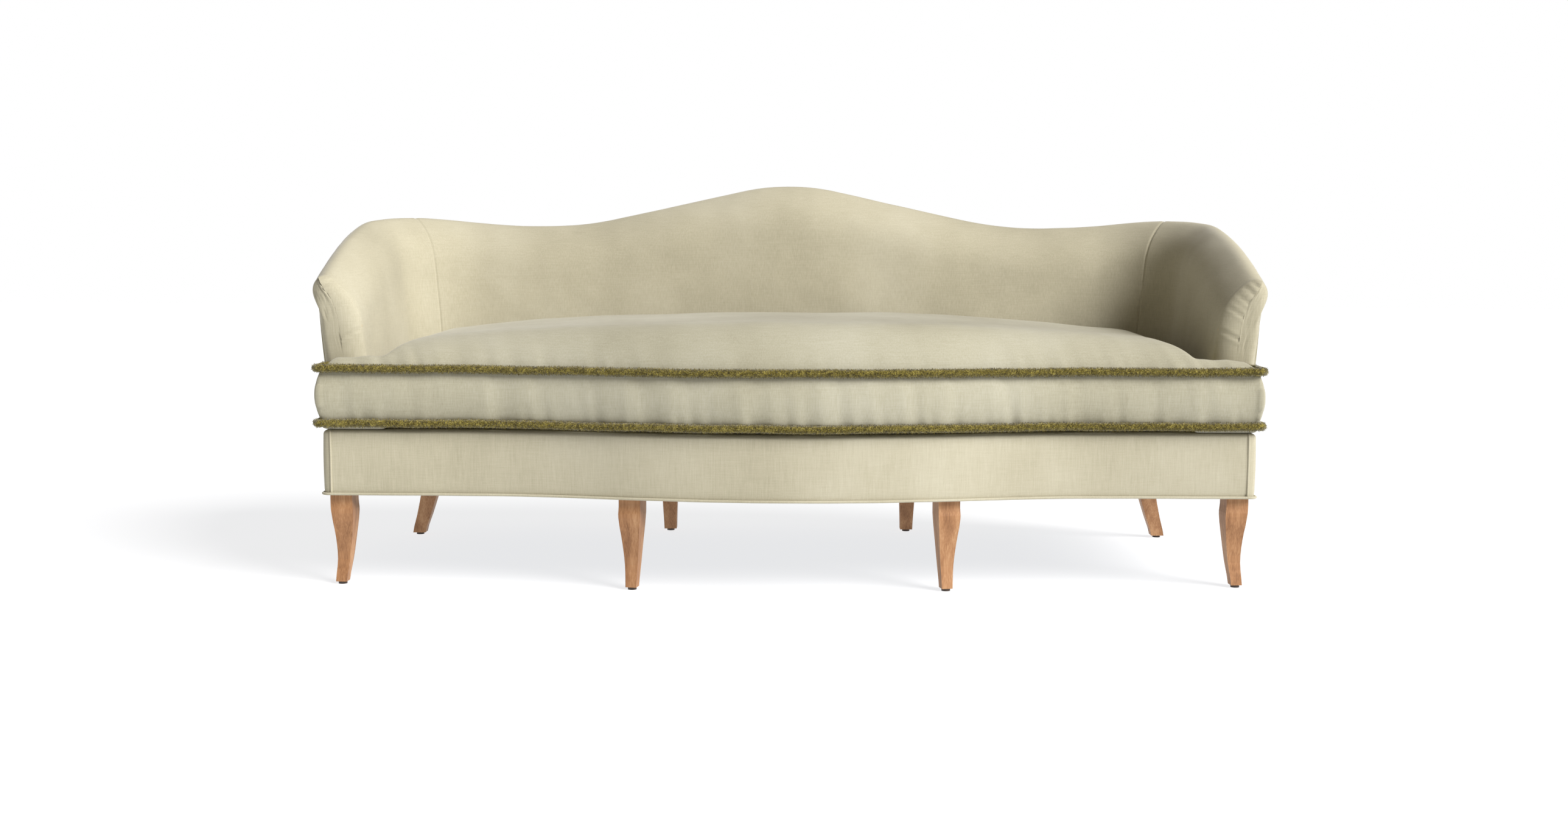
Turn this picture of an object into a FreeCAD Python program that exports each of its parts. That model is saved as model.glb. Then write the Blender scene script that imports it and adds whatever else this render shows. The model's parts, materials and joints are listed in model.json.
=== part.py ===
# Camelback sofa: oak legs, hardwood frame, upholstery and one loose seat cushion.
# Millimetres. X runs along the sofa, the front faces -Y, Z is up from the floor.
import FreeCAD
import Part
import os
from math import asin, atan2, cos, degrees, pi, radians, sin, tan

V = FreeCAD.Vector
doc = FreeCAD.newDocument("camelback_sofa")

# Driving sizes, one cell each
SIZES = [
    ("half_width", 1055.0, "half of the upholstered base"),
    ("corner_front", 350.0, "front corner ahead of the origin"),
    ("front_bow", 92.0, "how far the front swells in the middle"),
    ("wave_half", 400.0, "half of each serpentine wave"),
    ("back_depth", 430.0, "outside back behind the origin"),
    ("corner_radius", 260.0, "outside radius of the rear corners"),
    ("front_corner_radius", 9.0, "front corners of the base"),
    ("base_bottom", 209.0, "underside of the apron"),
    ("apron_top", 357.0, "top of the apron"),
    ("apron_thick", 10.0, "padded cover over the rails"),
    ("apron_round", 9.0, "rounded top edge of the apron"),
    ("rail_thick", 40.0, "seat rails"),
    ("rail_bottom", 211.0, "underside of the seat rails"),
    ("rail_top", 341.0, "top of the seat rails"),
    ("deck_top", 357.0, "top of the seat deck"),
    ("strap_thick", 2.0, "webbing thickness"),
    ("strap_wide", 60.0, "webbing width"),
    ("long_strap_step", 80.0, "spacing of the lengthwise straps"),
    ("cross_strap_step", 110.0, "spacing of the crosswise straps"),
    ("arm_front", 265.0, "arm front ahead of the origin"),
    ("facing_thick", 18.0, "padded face of the arm front"),
    ("facing_round", 14.0, "rounded rim of the arm front"),
    ("board_thick", 28.0, "boards of the upper frame"),
    ("board_clear", 1.5, "boards clear of the pads over them"),
    ("outside_pad", 14.0, "outside panels at their foot"),
    ("arm_wall", 88.0, "arm thickness at the deck"),
    ("back_wall", 150.0, "back thickness at the deck"),
    ("pad_shoulder", 150.0, "start of the padded curve below the top"),
    ("pad_set_in", 55.0, "start of the padded curve inside the roll"),
    ("pad_fullness", 24.0, "fullness of the padded curve"),
    ("arm_roll", 35.0, "radius of the arm roll"),
    ("back_roll", 45.0, "radius of the back roll"),
    ("arm_lean", 5.0, "arm roll centre outside the base line"),
    ("back_lean", 10.0, "back roll centre inside the base line"),
    ("arm_front_top", 694.0, "top of the arm at its front"),
    ("peak_top", 923.0, "top of the camel hump"),
    ("hump_reach", 127.0, "end of the round part of the hump"),
    ("slope_reach", 450.0, "end of the straight slope"),
    ("dip_reach", 650.0, "lowest point of the crest"),
    ("rise_reach", 900.0, "end of the rise to the corner"),
    ("shoulder_reach", 975.0, "top of the shoulder"),
    ("crest_slope", 0.22, "slope beside the hump"),
    ("shoulder_slope", 0.12, "slope up to the shoulder"),
    ("crest_rail_deep", 75.0, "depth of the crest rail"),
    ("arm_rail_deep", 50.0, "depth of the arm top rail"),
    ("lower_rail_deep", 45.0, "tacking rails above the deck"),
    ("lower_rail_gap", 30.0, "space under the tacking rails"),
    ("post_wide", 50.0, "upright posts"),
    ("centre_post_at", 265.0, "centre posts from the middle"),
    ("stretcher_at", 350.0, "seat stretchers from the middle"),
    ("stretcher_wide", 30.0, "seat stretcher width"),
    ("stretcher_deep", 70.0, "seat stretcher depth"),
    ("stretcher_lift", 20.0, "stretchers above the underside of the rails"),
    ("block_leg", 90.0, "corner block legs"),
    ("block_deep", 60.0, "corner block depth"),
    ("welt_radius", 3.0, "bottom welt"),
    ("dust_thick", 1.2, "dust cover cloth"),
    ("dust_inset", 6.0, "dust cover inside the apron"),
    ("leg_top", 50.0, "leg section at the top"),
    ("leg_foot", 25.0, "leg section at the foot"),
    ("leg_inset", 38.0, "leg centre inside the base line"),
    ("glide_radius", 10.0, "glide under each leg"),
    ("glide_high", 6.0, "glide height"),
    ("middle_leg_x", 354.0, "middle front legs from the middle"),
    ("rear_leg_x", 318.0, "middle back legs from the middle"),
    ("rear_splay", 52.0, "outward kick of the rear corner feet"),
    ("rear_kick", 32.0, "backward kick of the middle back feet"),
    ("bolt_radius", 4.0, "hanger bolts"),
    ("bolt_clearance", 0.2, "hanger bolt holes, on the radius"),
    ("bolt_in_leg", 35.0, "bolt length inside the leg"),
    ("bolt_in_rail", 30.0, "bolt length inside the rail"),
    ("overhang", 20.0, "cushion ahead of the apron"),
    ("ear_side", 20.0, "cushion ears outside the base line"),
    ("ear_clear", 4.0, "cushion ears ahead of the arm fronts"),
    ("cushion_clear", 4.0, "cushion clear of the arms and back"),
    ("trim_radius", 9.0, "brush trim"),
    ("boxing_swell", 11.0, "how far the boxing swells between its seams"),
    ("cushion_corner", 130.0, "rear corners of the cushion"),
    ("ear_corner", 10.0, "trim round the corners of the cushion ears"),
    ("trim_gap", 1.0, "brush trim clear of the cushion cover"),
    ("low_seam", 374.0, "bottom seam of the cushion"),
    ("high_seam", 497.0, "top seam of the cushion"),
    ("cushion_rest", 0.4, "cushion above the deck"),
    ("crown", 108.0, "crown above the top seam"),
    ("ear_crown", 5.0, "crown on the ears"),
    ("sole_inset", 20.0, "flat underside inside the bottom seam"),
    ("cover_thick", 5.0, "cover and its lining"),
    ("insert_clear", 1.2, "insert inside the cover"),
    ("zip_end", 8.0, "slider short of the end of the zip"),
    ("zip_half", 420.0, "half of the zip"),
    ("zip_wide", 24.0, "zip tape width"),
    ("zip_thick", 1.6, "zip tape thickness"),
    ("slider_long", 12.0, "zip slider length"),
    ("slider_wide", 9.0, "zip slider width"),
    ("slider_thick", 1.8, "zip slider thickness"),
    ("seat_gap", 0.4, "gap between a pad and what carries it"),
]

sheet = doc.addObject("Spreadsheet::Sheet", "Sizes")
for row, (alias, value, note) in enumerate(SIZES, start=1):
    sheet.set("A%d" % row, alias)
    sheet.set("B%d" % row, str(value))
    sheet.set("C%d" % row, note)
    sheet.setAlias("B%d" % row, alias)
doc.recompute()


def size(alias):
    return float(sheet.get(alias))


half_width = size("half_width")
corner_y = -size("corner_front")
bow = size("front_bow")
wave = size("wave_half")
back_y = size("back_depth")
corner_radius = size("corner_radius")
rail_bottom = size("rail_bottom")
rail_top = size("rail_top")
deck_top = size("deck_top")
apron_thick = size("apron_thick")
rail_thick = size("rail_thick")
board_thick = size("board_thick")
outside_pad = size("outside_pad")
gap = size("seat_gap")

corner_x = half_width - corner_radius
corner_start_y = back_y - corner_radius
bow_radius = (wave ** 2 + (bow / 2) ** 2) / bow
board_out = outside_pad
board_in = outside_pad + board_thick
facing_back_y = -size("arm_front") + size("facing_thick")
stump_back_y = facing_back_y + board_thick

nodes = []


def keep(label, item):
    item.Label = label
    nodes.append(item)
    return item


def solid(label, shape):
    """A sub-part whose shape is worked out here."""
    item = doc.addObject("Part::Feature", label)
    item.Shape = shape
    item.Placement = shape.Placement
    return keep(label, item)


# Outlines in plan

def flip(point):
    return V(-point.x, point.y, point.z)


def arc(first, middle, last):
    return Part.Arc(first, middle, last)


def line(first, last):
    return Part.LineSegment(first, last)


def front_curve(inset):
    """The serpentine from the left flat to the right flat, set in by inset."""
    angle = asin(wave / bow_radius)
    inner = bow_radius - inset
    outer = bow_radius + inset
    centre_y = corner_y - bow + bow_radius
    join = V(inner * sin(angle), centre_y - inner * cos(angle), 0)
    peak = V(0, centre_y - inner, 0)
    hollow = V(2 * wave - outer * sin(angle / 2), corner_y - bow_radius + outer * cos(angle / 2), 0)
    flat = V(2 * wave, corner_y + inset, 0)
    return [arc(flip(flat), flip(hollow), flip(join)), arc(flip(join), peak, join), arc(join, hollow, flat)]


def front_y(x, inset=0.0):
    """Y of the front at a given X."""
    across = min(abs(x), 2 * wave)
    if across <= wave:
        return corner_y - bow + bow_radius - ((bow_radius - inset) ** 2 - across ** 2) ** 0.5
    return corner_y - bow_radius + ((bow_radius + inset) ** 2 - (2 * wave - across) ** 2) ** 0.5


def rounded(points, radii):
    """Lines joined by tangent arcs at the inner points."""
    pieces = []
    start = points[0]
    for before, corner, after, radius in zip(points, points[1:], points[2:], radii):
        back = (before - corner).normalize()
        ahead = (after - corner).normalize()
        half = back.getAngle(ahead) / 2
        reach = radius / tan(half)
        middle_way = (back + ahead).normalize()
        middle = corner + middle_way * (radius / sin(half) - radius)
        pieces.append(line(start, corner + back * reach))
        pieces.append(arc(corner + back * reach, middle, corner + ahead * reach))
        start = corner + ahead * reach
    pieces.append(line(start, points[-1]))
    return pieces


def base_loop(inset):
    """The whole outline of the base, set in by inset."""
    side = half_width - inset
    front = corner_y + inset
    back = back_y - inset
    rim = max(size("front_corner_radius") - inset, 2.0)
    bend = corner_radius - inset
    points = [V(2 * wave, front, 0), V(side, front, 0), V(side, back, 0), V(-side, back, 0),
              V(-side, front, 0), V(-2 * wave, front, 0)]
    return front_curve(inset) + rounded(points, [rim, bend, bend, rim])


def tee_loop(inset, side, ear_y, neck_x, rear_y, corners):
    """A T-shaped seat outline: ears ahead of the arms, then the width between the arms."""
    front = corner_y + inset
    ear, neck, rear = corners
    right = [V(2 * wave, front, 0), V(side, front, 0), V(side, ear_y, 0), V(neck_x, ear_y, 0), V(neck_x, rear_y, 0)]
    left = [flip(point) for point in reversed(right)]
    return front_curve(inset) + rounded(right + left, [ear, ear, neck, rear, rear, neck, ear, ear])


def front_run(inset, end_x):
    """The front edge from side to side, open at both ends."""
    front = corner_y + inset
    left = line(V(-end_x, front, 0), V(-2 * wave, front, 0))
    right = line(V(2 * wave, front, 0), V(end_x, front, 0))
    return [left] + front_curve(inset) + [right]


def side_run(inset, start_y, turn):
    """The right side from start_y and round the rear corner by turn degrees."""
    pieces = [line(V(half_width - inset, start_y, 0), V(half_width - inset, corner_start_y, 0))]
    if turn > 0:
        pieces.append(corner_run(inset, 0, turn))
    return pieces


def corner_run(inset, first, last):
    """The rear right corner between two angles from the side."""
    bend = corner_radius - inset
    places = []
    for angle in (first, (first + last) / 2, last):
        turn = radians(angle)
        places.append(V(corner_x + bend * cos(turn), corner_start_y + bend * sin(turn), 0))
    return arc(*places)


def ends(pieces):
    return pieces[0].StartPoint, pieces[-1].EndPoint


def band(outer, inner):
    """A closed strip between two open runs that go the same way."""
    outer_start, outer_end = ends(outer)
    inner_start, inner_end = ends(inner)
    return outer + [line(outer_end, inner_end)] + inner + [line(inner_start, outer_start)]


def mirrored(pieces):
    """The same outline on the left."""
    result = []
    for piece in pieces:
        first = flip(piece.StartPoint)
        last = flip(piece.EndPoint)
        if isinstance(piece, Part.LineSegment):
            result.append(line(first, last))
        else:
            middle = flip(piece.value((piece.FirstParameter + piece.LastParameter) / 2))
            result.append(arc(first, middle, last))
    return result


# Bodies: a sketch on an origin plane and a pad

def origin_plane(body, role):
    for feature in body.Origin.OriginFeatures:
        if feature.Role == role:
            return feature
    raise ValueError(role)


def sketch_on(body, role, name, pieces, lift=None):
    sketch = body.newObject("Sketcher::SketchObject", name)
    sketch.AttachmentSupport = [(origin_plane(body, role), "")]
    sketch.MapMode = "FlatFace"
    if lift:
        sketch.setExpression("AttachmentOffset.Base.z", lift)
    for piece in pieces:
        sketch.addGeometry(piece, False)
    return sketch


def padded(label, pieces, low, high, role="XY_Plane"):
    """A body padded from the level low to the level high, both given as expressions."""
    body = doc.addObject("PartDesign::Body", label)
    sketch = sketch_on(body, role, label + "_outline", pieces, low)
    pad = body.newObject("PartDesign::Pad", label + "_pad")
    pad.Profile = sketch
    pad.setExpression("Length", "(%s) - (%s)" % (high, low))
    body.Tip = pad
    doc.recompute()
    return keep(label, body)


def box(label, long, wide, high, x, y, z):
    """A straight board bound to the sheet; every argument is an expression."""
    item = doc.addObject("Part::Box", label)
    item.setExpression("Length", long)
    item.setExpression("Width", wide)
    item.setExpression("Height", high)
    item.setExpression("Placement.Base.x", x)
    item.setExpression("Placement.Base.y", y)
    item.setExpression("Placement.Base.z", z)
    return keep(label, item)


def face_of(pieces, level=0.0):
    wire = Part.Wire(Part.__sortEdges__([piece.toShape() for piece in pieces]))
    wire.translate(V(0, 0, level))
    return Part.Face(wire)


def block(pieces, low, high):
    return face_of(pieces, low).extrude(V(0, 0, high - low))


def along_arc(first, middle, last, count):
    """Points along an arc, both ends included."""
    curve = arc(first, middle, last)
    start = curve.FirstParameter
    step = (curve.LastParameter - start) / count
    return [curve.value(start + step * index) for index in range(count + 1)]


def polygon(points):
    """A closed wire through points, leaving out any that repeat the one before."""
    kept = [points[0]]
    for point in points[1:]:
        if point.distanceToPoint(kept[-1]) > 0.01:
            kept.append(point)
    return Part.makePolygon(kept + kept[:1])


def rope(points, radius, sides):
    """A closed cord of straight lengths with mitred joints round a level loop of points."""
    count = len(points)
    rings = []
    for index in range(count):
        before = (points[index] - points[index - 1]).normalize()
        after = (points[(index + 1) % count] - points[index]).normalize()
        out = V(before.y + after.y, -before.x - after.x, 0)
        out.multiply(2 / (out.Length ** 2))
        ring = []
        for side in range(sides):
            swing = 2 * pi * (side + 0.5) / sides
            ring.append(points[index] + out * (radius * cos(swing)) + V(0, 0, radius * sin(swing)))
        rings.append(ring)
    faces = []
    for index in range(count):
        ring = rings[index]
        after = rings[(index + 1) % count]
        for side in range(sides):
            other = (side + 1) % sides
            corners = [ring[side], after[side], after[other], ring[other], ring[side]]
            faces.append(Part.Face(Part.makePolygon(corners)))
    shell = Part.makeShell(faces)
    shell.sewShape()
    cord = Part.makeSolid(shell)
    if cord.Volume < 0:
        cord.reverse()
    return cord


# Legs

def front_normal(x):
    """Angle by which the front turns away from straight ahead at X."""
    step = 1.0
    return degrees(atan2(front_y(x + step) - front_y(x - step), 2 * step))


LEG_PLACES = []
for side_name, side in (("left", -1), ("right", 1)):
    corner_turn = radians(45)
    ring = corner_radius - size("leg_inset") * 1.9
    middle_x = side * size("middle_leg_x")
    LEG_PLACES.append(("front_leg_outer_" + side_name, side * (half_width - size("leg_inset")),
                       corner_y + size("leg_inset"), side * 4.0, "sabre", side))
    LEG_PLACES.append(("front_leg_middle_" + side_name, middle_x,
                       front_y(middle_x, size("leg_inset")), front_normal(middle_x), "taper", side))
    LEG_PLACES.append(("rear_leg_outer_" + side_name, side * (corner_x + ring * cos(corner_turn)),
                       corner_start_y + ring * sin(corner_turn), 0.0, "splayed", side))
    LEG_PLACES.append(("rear_leg_middle_" + side_name, side * size("rear_leg_x"),
                       back_y - size("leg_inset"), 0.0, "rear", side))

LEG_STEPS = 3
# Share of the leg's height, share of the way from top size to foot size, sideways and forward drift
LEG_FORMS = {
    "sabre": [(1.0, 0.0, 0.0, 0.0), (0.9, 0.0, 0.0, 0.0), (0.78, 0.0, -2.5, -3.0), (0.5, 0.5, -2.0, 2.0), (0.25, 0.85, 1.0, 4.0),
              (0.0, 1.0, 6.0, -6.0)],
    "taper": [(1.0, 0.0, 0.0, 0.0), (0.9, 0.0, 0.0, 0.0), (0.78, 0.0, 0.0, -3.0), (0.5, 0.45, 0.0, 2.0), (0.25, 0.8, 0.0, 3.0),
              (0.0, 1.0, 0.0, -5.0)],
}
LEG_FORMS["splayed"] = [(1.0, 0.0, 0.0, 0.0), (0.78, 0.1, 0.12, 0.12), (0.5, 0.35, 0.38, 0.38),
                        (0.25, 0.55, 0.68, 0.68), (0.0, 0.7, 1.0, 1.0)]
LEG_FORMS["rear"] = [(1.0, 0.0, 0.0, 0.0), (0.78, 0.1, 0.0, 0.1), (0.5, 0.35, 0.0, 0.35),
                     (0.25, 0.55, 0.0, 0.65), (0.0, 0.7, 0.0, 1.0)]


def eased(form):
    """The rows of a leg form with smooth rows worked out between them."""
    rows = []
    for index in range(len(form) - 1):
        here = form[index]
        after = form[index + 1]
        before = form[index - 1] if index > 0 else here
        beyond = form[index + 2] if index + 2 < len(form) else after
        for step in range(LEG_STEPS):
            t = step / LEG_STEPS
            row = []
            for a, b, c, d in zip(before, here, after, beyond):
                row.append(b + 0.5 * t * (c - a + t * (2 * a - 5 * b + 4 * c - d + t * (3 * b - a - 3 * c + d))))
            rows.append((here[0] + (after[0] - here[0]) * t, row[1], row[2], row[3]))
    rows.append(form[-1])
    return rows


def leg_shape(x, y, turn, form, side):
    top = size("leg_top")
    foot = size("leg_foot")
    low = size("glide_high")
    wires = []
    for share, thin, drift_x, drift_y in eased(LEG_FORMS[form]):
        if form == "splayed":
            drift_x *= size("rear_splay")
            drift_y *= size("rear_splay") * 0.8
        if form == "rear":
            drift_y *= size("rear_kick")
        half = (top + (foot - top) * thin) / 2
        level = low + (rail_bottom - low) * share
        corners = [V(-half, -half, level), V(half, -half, level), V(half, half, level), V(-half, half, level)]
        shift = V(side * drift_x, drift_y, 0)
        wires.append(Part.makePolygon([point + shift for point in corners + corners[:1]]))
    leg = Part.makeLoft(wires, True, True)
    leg.rotate(V(0, 0, 0), V(0, 0, 1), turn)
    leg.translate(V(x, y, 0))
    return leg


def foot_centre(x, y, turn, form, side):
    share, thin, drift_x, drift_y = LEG_FORMS[form][-1]
    if form == "splayed":
        drift_x *= size("rear_splay")
        drift_y *= size("rear_splay") * 0.8
    if form == "rear":
        drift_y *= size("rear_kick")
    swing = radians(turn)
    move_x = side * drift_x * cos(swing) - drift_y * sin(swing)
    move_y = side * drift_x * sin(swing) + drift_y * cos(swing)
    return V(x + move_x, y + move_y, 0)


def bolt_holes(low, high):
    radius = size("bolt_radius") + size("bolt_clearance")
    return [Part.makeCylinder(radius, high - low, V(x, y, low)) for _, x, y, _, _, _ in LEG_PLACES]


bolt_low = rail_bottom - size("bolt_in_leg")
bolt_high = rail_bottom + size("bolt_in_rail")
holes = bolt_holes(bolt_low - gap, bolt_high + gap)
for index, (name, x, y, turn, form, side) in enumerate(LEG_PLACES):
    solid(name, leg_shape(x, y, turn, form, side).cut(holes[index]))
solid("leg_bolts", Part.makeCompound(
    [Part.makeCylinder(size("bolt_radius"), bolt_high - bolt_low, V(x, y, bolt_low))
     for _, x, y, _, _, _ in LEG_PLACES]))
glides = []
for name, x, y, turn, form, side in LEG_PLACES:
    glides.append(Part.makeCylinder(size("glide_radius"), size("glide_high"), foot_centre(x, y, turn, form, side)))
solid("leg_glides", Part.makeCompound(glides))

# Seat frame
outer = apron_thick + gap
inner = apron_thick + rail_thick


def rail(label, pieces):
    """A curved seat rail, bored for the hanger bolts that reach it."""
    body = padded(label + "_board", pieces, "Sizes.rail_bottom", "Sizes.rail_top")
    nodes.remove(body)
    shape = body.Shape.copy()
    for hole in holes:
        if shape.common(hole).Volume > 1.0:
            shape = shape.cut(hole)
    return solid(label, shape)


rail("front_rail", band(front_run(outer, half_width - outer), front_run(inner, half_width - outer)))
rail("back_rail", [line(V(-corner_x, back_y - outer, 0), V(corner_x, back_y - outer, 0)),
                   line(V(corner_x, back_y - outer, 0), V(corner_x, back_y - inner, 0)),
                   line(V(corner_x, back_y - inner, 0), V(-corner_x, back_y - inner, 0)),
                   line(V(-corner_x, back_y - inner, 0), V(-corner_x, back_y - outer, 0))])
corner_wood = band([corner_run(outer, 0, 90)], [corner_run(inner, 0, 90)])
side_wood = band(side_run(outer, corner_y + inner, 0), side_run(inner, corner_y + inner, 0))
for side_name, shaped in (("left", mirrored), ("right", list)):
    rail("corner_rail_" + side_name, shaped(corner_wood))
    rail("side_rail_" + side_name, shaped(side_wood))

stretchers = []
for x in (-size("stretcher_at"), size("stretcher_at")):
    start = front_y(x, inner) - rail_thick / 2
    width = size("stretcher_wide")
    plank = Part.makeBox(width, back_y - inner - start, size("stretcher_deep"),
                         V(x - width / 2, start, rail_bottom + size("stretcher_lift")))
    stretchers.append(plank.cut(block(band(front_run(-5.0, half_width), front_run(inner, half_width)),
                                      rail_bottom, rail_top)))
solid("seat_stretchers", Part.makeCompound(stretchers))

blocks = []
reach = size("block_leg")
for side in (-1, 1):
    x = half_width - inner
    y = corner_y + inner
    corner = [V(side * x, y, 0), V(side * (x - reach), y, 0), V(side * x, y + reach, 0)]
    blocks.append(block([line(corner[0], corner[1]), line(corner[1], corner[2]), line(corner[2], corner[0])],
                        rail_top - size("block_deep"), rail_top))
solid("corner_blocks", Part.makeCompound(blocks))

# Webbing between the rails, and the deck over it
strap = size("strap_thick")
strap_wide = size("strap_wide")
strap_end = board_in + 1.0
long_straps = []
cross_straps = []
for index in range(-3, 4):
    y = index * size("long_strap_step") + size("long_strap_step") / 4
    reach = half_width - strap_end
    if y + strap_wide / 2 > corner_start_y:
        reach -= 75.0
    long_straps.append(Part.makeBox(2 * reach, strap_wide, strap, V(-reach, y - strap_wide / 2, rail_top)))
for index in range(-8, 9):
    x = index * size("cross_strap_step")
    start = front_y(abs(x) + strap_wide / 2, inner) - 6.0
    stop = back_y - strap_end
    if abs(x) > corner_x:
        stop -= 45.0
    cross_straps.append(Part.makeBox(strap_wide, stop - start, strap,
                                     V(x - strap_wide / 2, start, rail_top + strap)))
solid("webbing_lengthwise", Part.makeCompound(long_straps))
solid("webbing_crosswise", Part.makeCompound(cross_straps))
deck_outline = tee_loop(apron_thick + gap, half_width - apron_thick - gap, facing_back_y - gap,
                        half_width - board_in - gap, back_y - board_in - gap,
                        (4.0, 2 * gap, corner_radius - board_in - gap))
solid("seat_deck", block(deck_outline, rail_top + 2 * strap, deck_top))

# Lower covers

def front_skin():
    """The front cover, rounded at both outer corners."""
    corner = rounded([V(2 * wave, corner_y, 0), V(half_width, corner_y, 0),
                      V(half_width, corner_y + apron_thick, 0)], [size("front_corner_radius")])
    return mirrored(corner) + front_curve(0) + corner + front_run(apron_thick, half_width)


skin = {
    "apron_front": front_skin(),
    "apron_right": band(side_run(0, corner_y + apron_thick, 45), side_run(apron_thick, corner_y + apron_thick, 45)),
    "apron_back": band([corner_run(0, 45, 90), line(V(corner_x, back_y, 0), V(-corner_x, back_y, 0))]
                       + [mirrored([corner_run(0, 90, 45)])[0]],
                       [corner_run(apron_thick, 45, 90),
                        line(V(corner_x, back_y - apron_thick, 0), V(-corner_x, back_y - apron_thick, 0))]
                       + [mirrored([corner_run(apron_thick, 90, 45)])[0]]),
}
skin["apron_left"] = mirrored(skin["apron_right"])


def rounded_top(shape, radius, level):
    """Round the outer top edges of a cover."""
    edges = []
    for edge in shape.Edges:
        box_of = edge.BoundBox
        middle = edge.valueAt((edge.FirstParameter + edge.LastParameter) / 2)
        if box_of.ZMin > level - 0.1 and outside_line(middle):
            edges.append(edge)
    return shape.makeFillet(radius, edges)


def outside_line(point):
    """True where a point lies on the outline of the base."""
    outline = face_of(base_loop(apron_thick / 2))
    return outline.distToShape(Part.Vertex(V(point.x, point.y, 0)))[0] > apron_thick / 2 - 1.5


for name, pieces in skin.items():
    cover = block(pieces, size("base_bottom"), size("apron_top"))
    solid(name, rounded_top(cover, size("apron_round"), size("apron_top")))



WELT_STEP = 45.0
WELT_TURN = 6.0


def loop_points(pieces, level):
    """Points round a loop, close enough together to follow its arcs."""
    points = []
    for piece in pieces:
        count = 1
        if isinstance(piece, Part.Arc):
            edge = piece.toShape()
            turn = edge.tangentAt(edge.FirstParameter).getAngle(edge.tangentAt(edge.LastParameter))
            count = max(4, int(edge.Length / WELT_STEP), int(degrees(turn) / WELT_TURN))
        start = piece.FirstParameter
        step = (piece.LastParameter - start) / count
        points += [piece.value(start + step * index) + V(0, 0, level) for index in range(count)]
    return points


welt_loop = base_loop(-size("welt_radius") - gap)
solid("base_welt", rope(loop_points(welt_loop, size("base_bottom") + size("welt_radius")),
                        size("welt_radius"), 6))

cloth = block(base_loop(apron_thick + size("dust_inset")), rail_bottom - size("dust_thick"), rail_bottom)
for name, x, y, turn, form, side in LEG_PLACES:
    half = size("leg_top") / 2 + 1.0
    notch = Part.makeBox(2 * half, 2 * half, 10.0, V(-half, -half, rail_bottom - 6.0))
    notch.rotate(V(0, 0, 0), V(0, 0, 1), turn)
    notch.translate(V(x, y, 0))
    cloth = cloth.cut(notch)
solid("dust_cover", cloth)

# The wall of back and arms: its height, its section and its stations
half_turn = pi / 4
wall_length = corner_start_y + size("arm_front") + corner_radius * half_turn


def crest_height(x):
    """Top of the back at X: hump, slope, dip, rise and shoulder."""
    across = min(abs(x), size("shoulder_reach"))
    hump = size("hump_reach")
    slope = size("slope_reach")
    dip = size("dip_reach")
    rise = size("rise_reach")
    shoulder = size("shoulder_reach")
    steep = size("crest_slope")
    gentle = size("shoulder_slope")
    level = size("peak_top")
    level -= steep * min(across, hump) ** 2 / (2 * hump)
    level -= steep * max(0.0, min(across, slope) - hump)
    part = max(0.0, min(across, dip) - slope)
    level -= steep * (part - part ** 2 / (2 * (dip - slope)))
    part = max(0.0, min(across, rise) - dip)
    level += gentle * part ** 2 / (2 * (rise - dip))
    part = max(0.0, across - rise)
    level += gentle * (part - part ** 2 / (2 * (shoulder - rise)))
    return level


def arm_height(distance):
    """Top of the arm, measured along it from its front."""
    share = 1 - distance / wall_length
    top = crest_height(size("shoulder_reach"))
    return top - (top - size("arm_front_top")) * share ** 2


ROLL_STEPS = 7


class Station:
    """A place along the wall: a point on its outside line, the way out, and its sizes."""

    def __init__(self, point, way, top, weight):
        self.point = point
        self.way = way
        self.top = top
        self.wall = size("arm_wall") + (size("back_wall") - size("arm_wall")) * weight
        self.roll = size("arm_roll") + (size("back_roll") - size("arm_roll")) * weight
        self.lean = size("arm_lean") - (size("back_lean") + size("arm_lean")) * weight

    def place(self, out, level):
        return V(self.point.x + self.way.x * out, self.point.y + self.way.y * out, level)

    def under(self):
        """Where the roll ends below: out and level."""
        swing = radians(50)
        return self.lean + self.roll * cos(swing), self.top - self.roll * (1 + sin(swing))


def arm_station(y):
    return Station(V(half_width, y, 0), V(1, 0, 0), arm_height(y + size("arm_front")), 0.0)


def corner_station(angle):
    turn = radians(angle)
    way = V(cos(turn), sin(turn), 0)
    point = V(corner_x, corner_start_y, 0) + way * corner_radius
    if angle <= 45:
        top = arm_height(corner_start_y + size("arm_front") + corner_radius * turn)
    else:
        top = crest_height(point.x)
    return Station(point, way, top, sin(turn) ** 2)


def back_station(x):
    return Station(V(x, back_y, 0), V(0, 1, 0), crest_height(x), 1.0)


def flipped(station):
    """The same station on the left."""
    other = Station(flip(station.point), flip(station.way), station.top, 0.0)
    other.wall = station.wall
    other.roll = station.roll
    other.lean = station.lean
    return other


def face_points(station):
    """The padded face from the deck up and over the roll."""
    shoulder_out = station.lean - station.wall * 0.25 - size("pad_set_in")
    rise = size("pad_shoulder")
    fullness = size("pad_fullness")
    run = station.lean - shoulder_out
    length = (run ** 2 + rise ** 2) ** 0.5
    shoulder = station.place(shoulder_out, station.top - rise)
    belly = station.place((station.lean + shoulder_out) / 2 - fullness * rise / length,
                          station.top - rise / 2 + fullness * run / length)
    top = station.place(station.lean, station.top)
    points = [station.place(-station.wall, deck_top + gap)] + along_arc(shoulder, belly, top, 5)
    for index in range(1, ROLL_STEPS + 1):
        swing = radians(90 - 140 * index / ROLL_STEPS)
        points.append(station.place(station.lean + station.roll * cos(swing),
                                    station.top - station.roll * (1 - sin(swing))))
    return points


def pad_section(station):
    """Closed section of the inside pad: face, roll, and the ledge over the frame boards."""
    points = face_points(station)
    points.append(station.place(-board_in - gap, station.under()[1]))
    points.append(station.place(-board_in - gap, deck_top + gap))
    return polygon(points)


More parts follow.
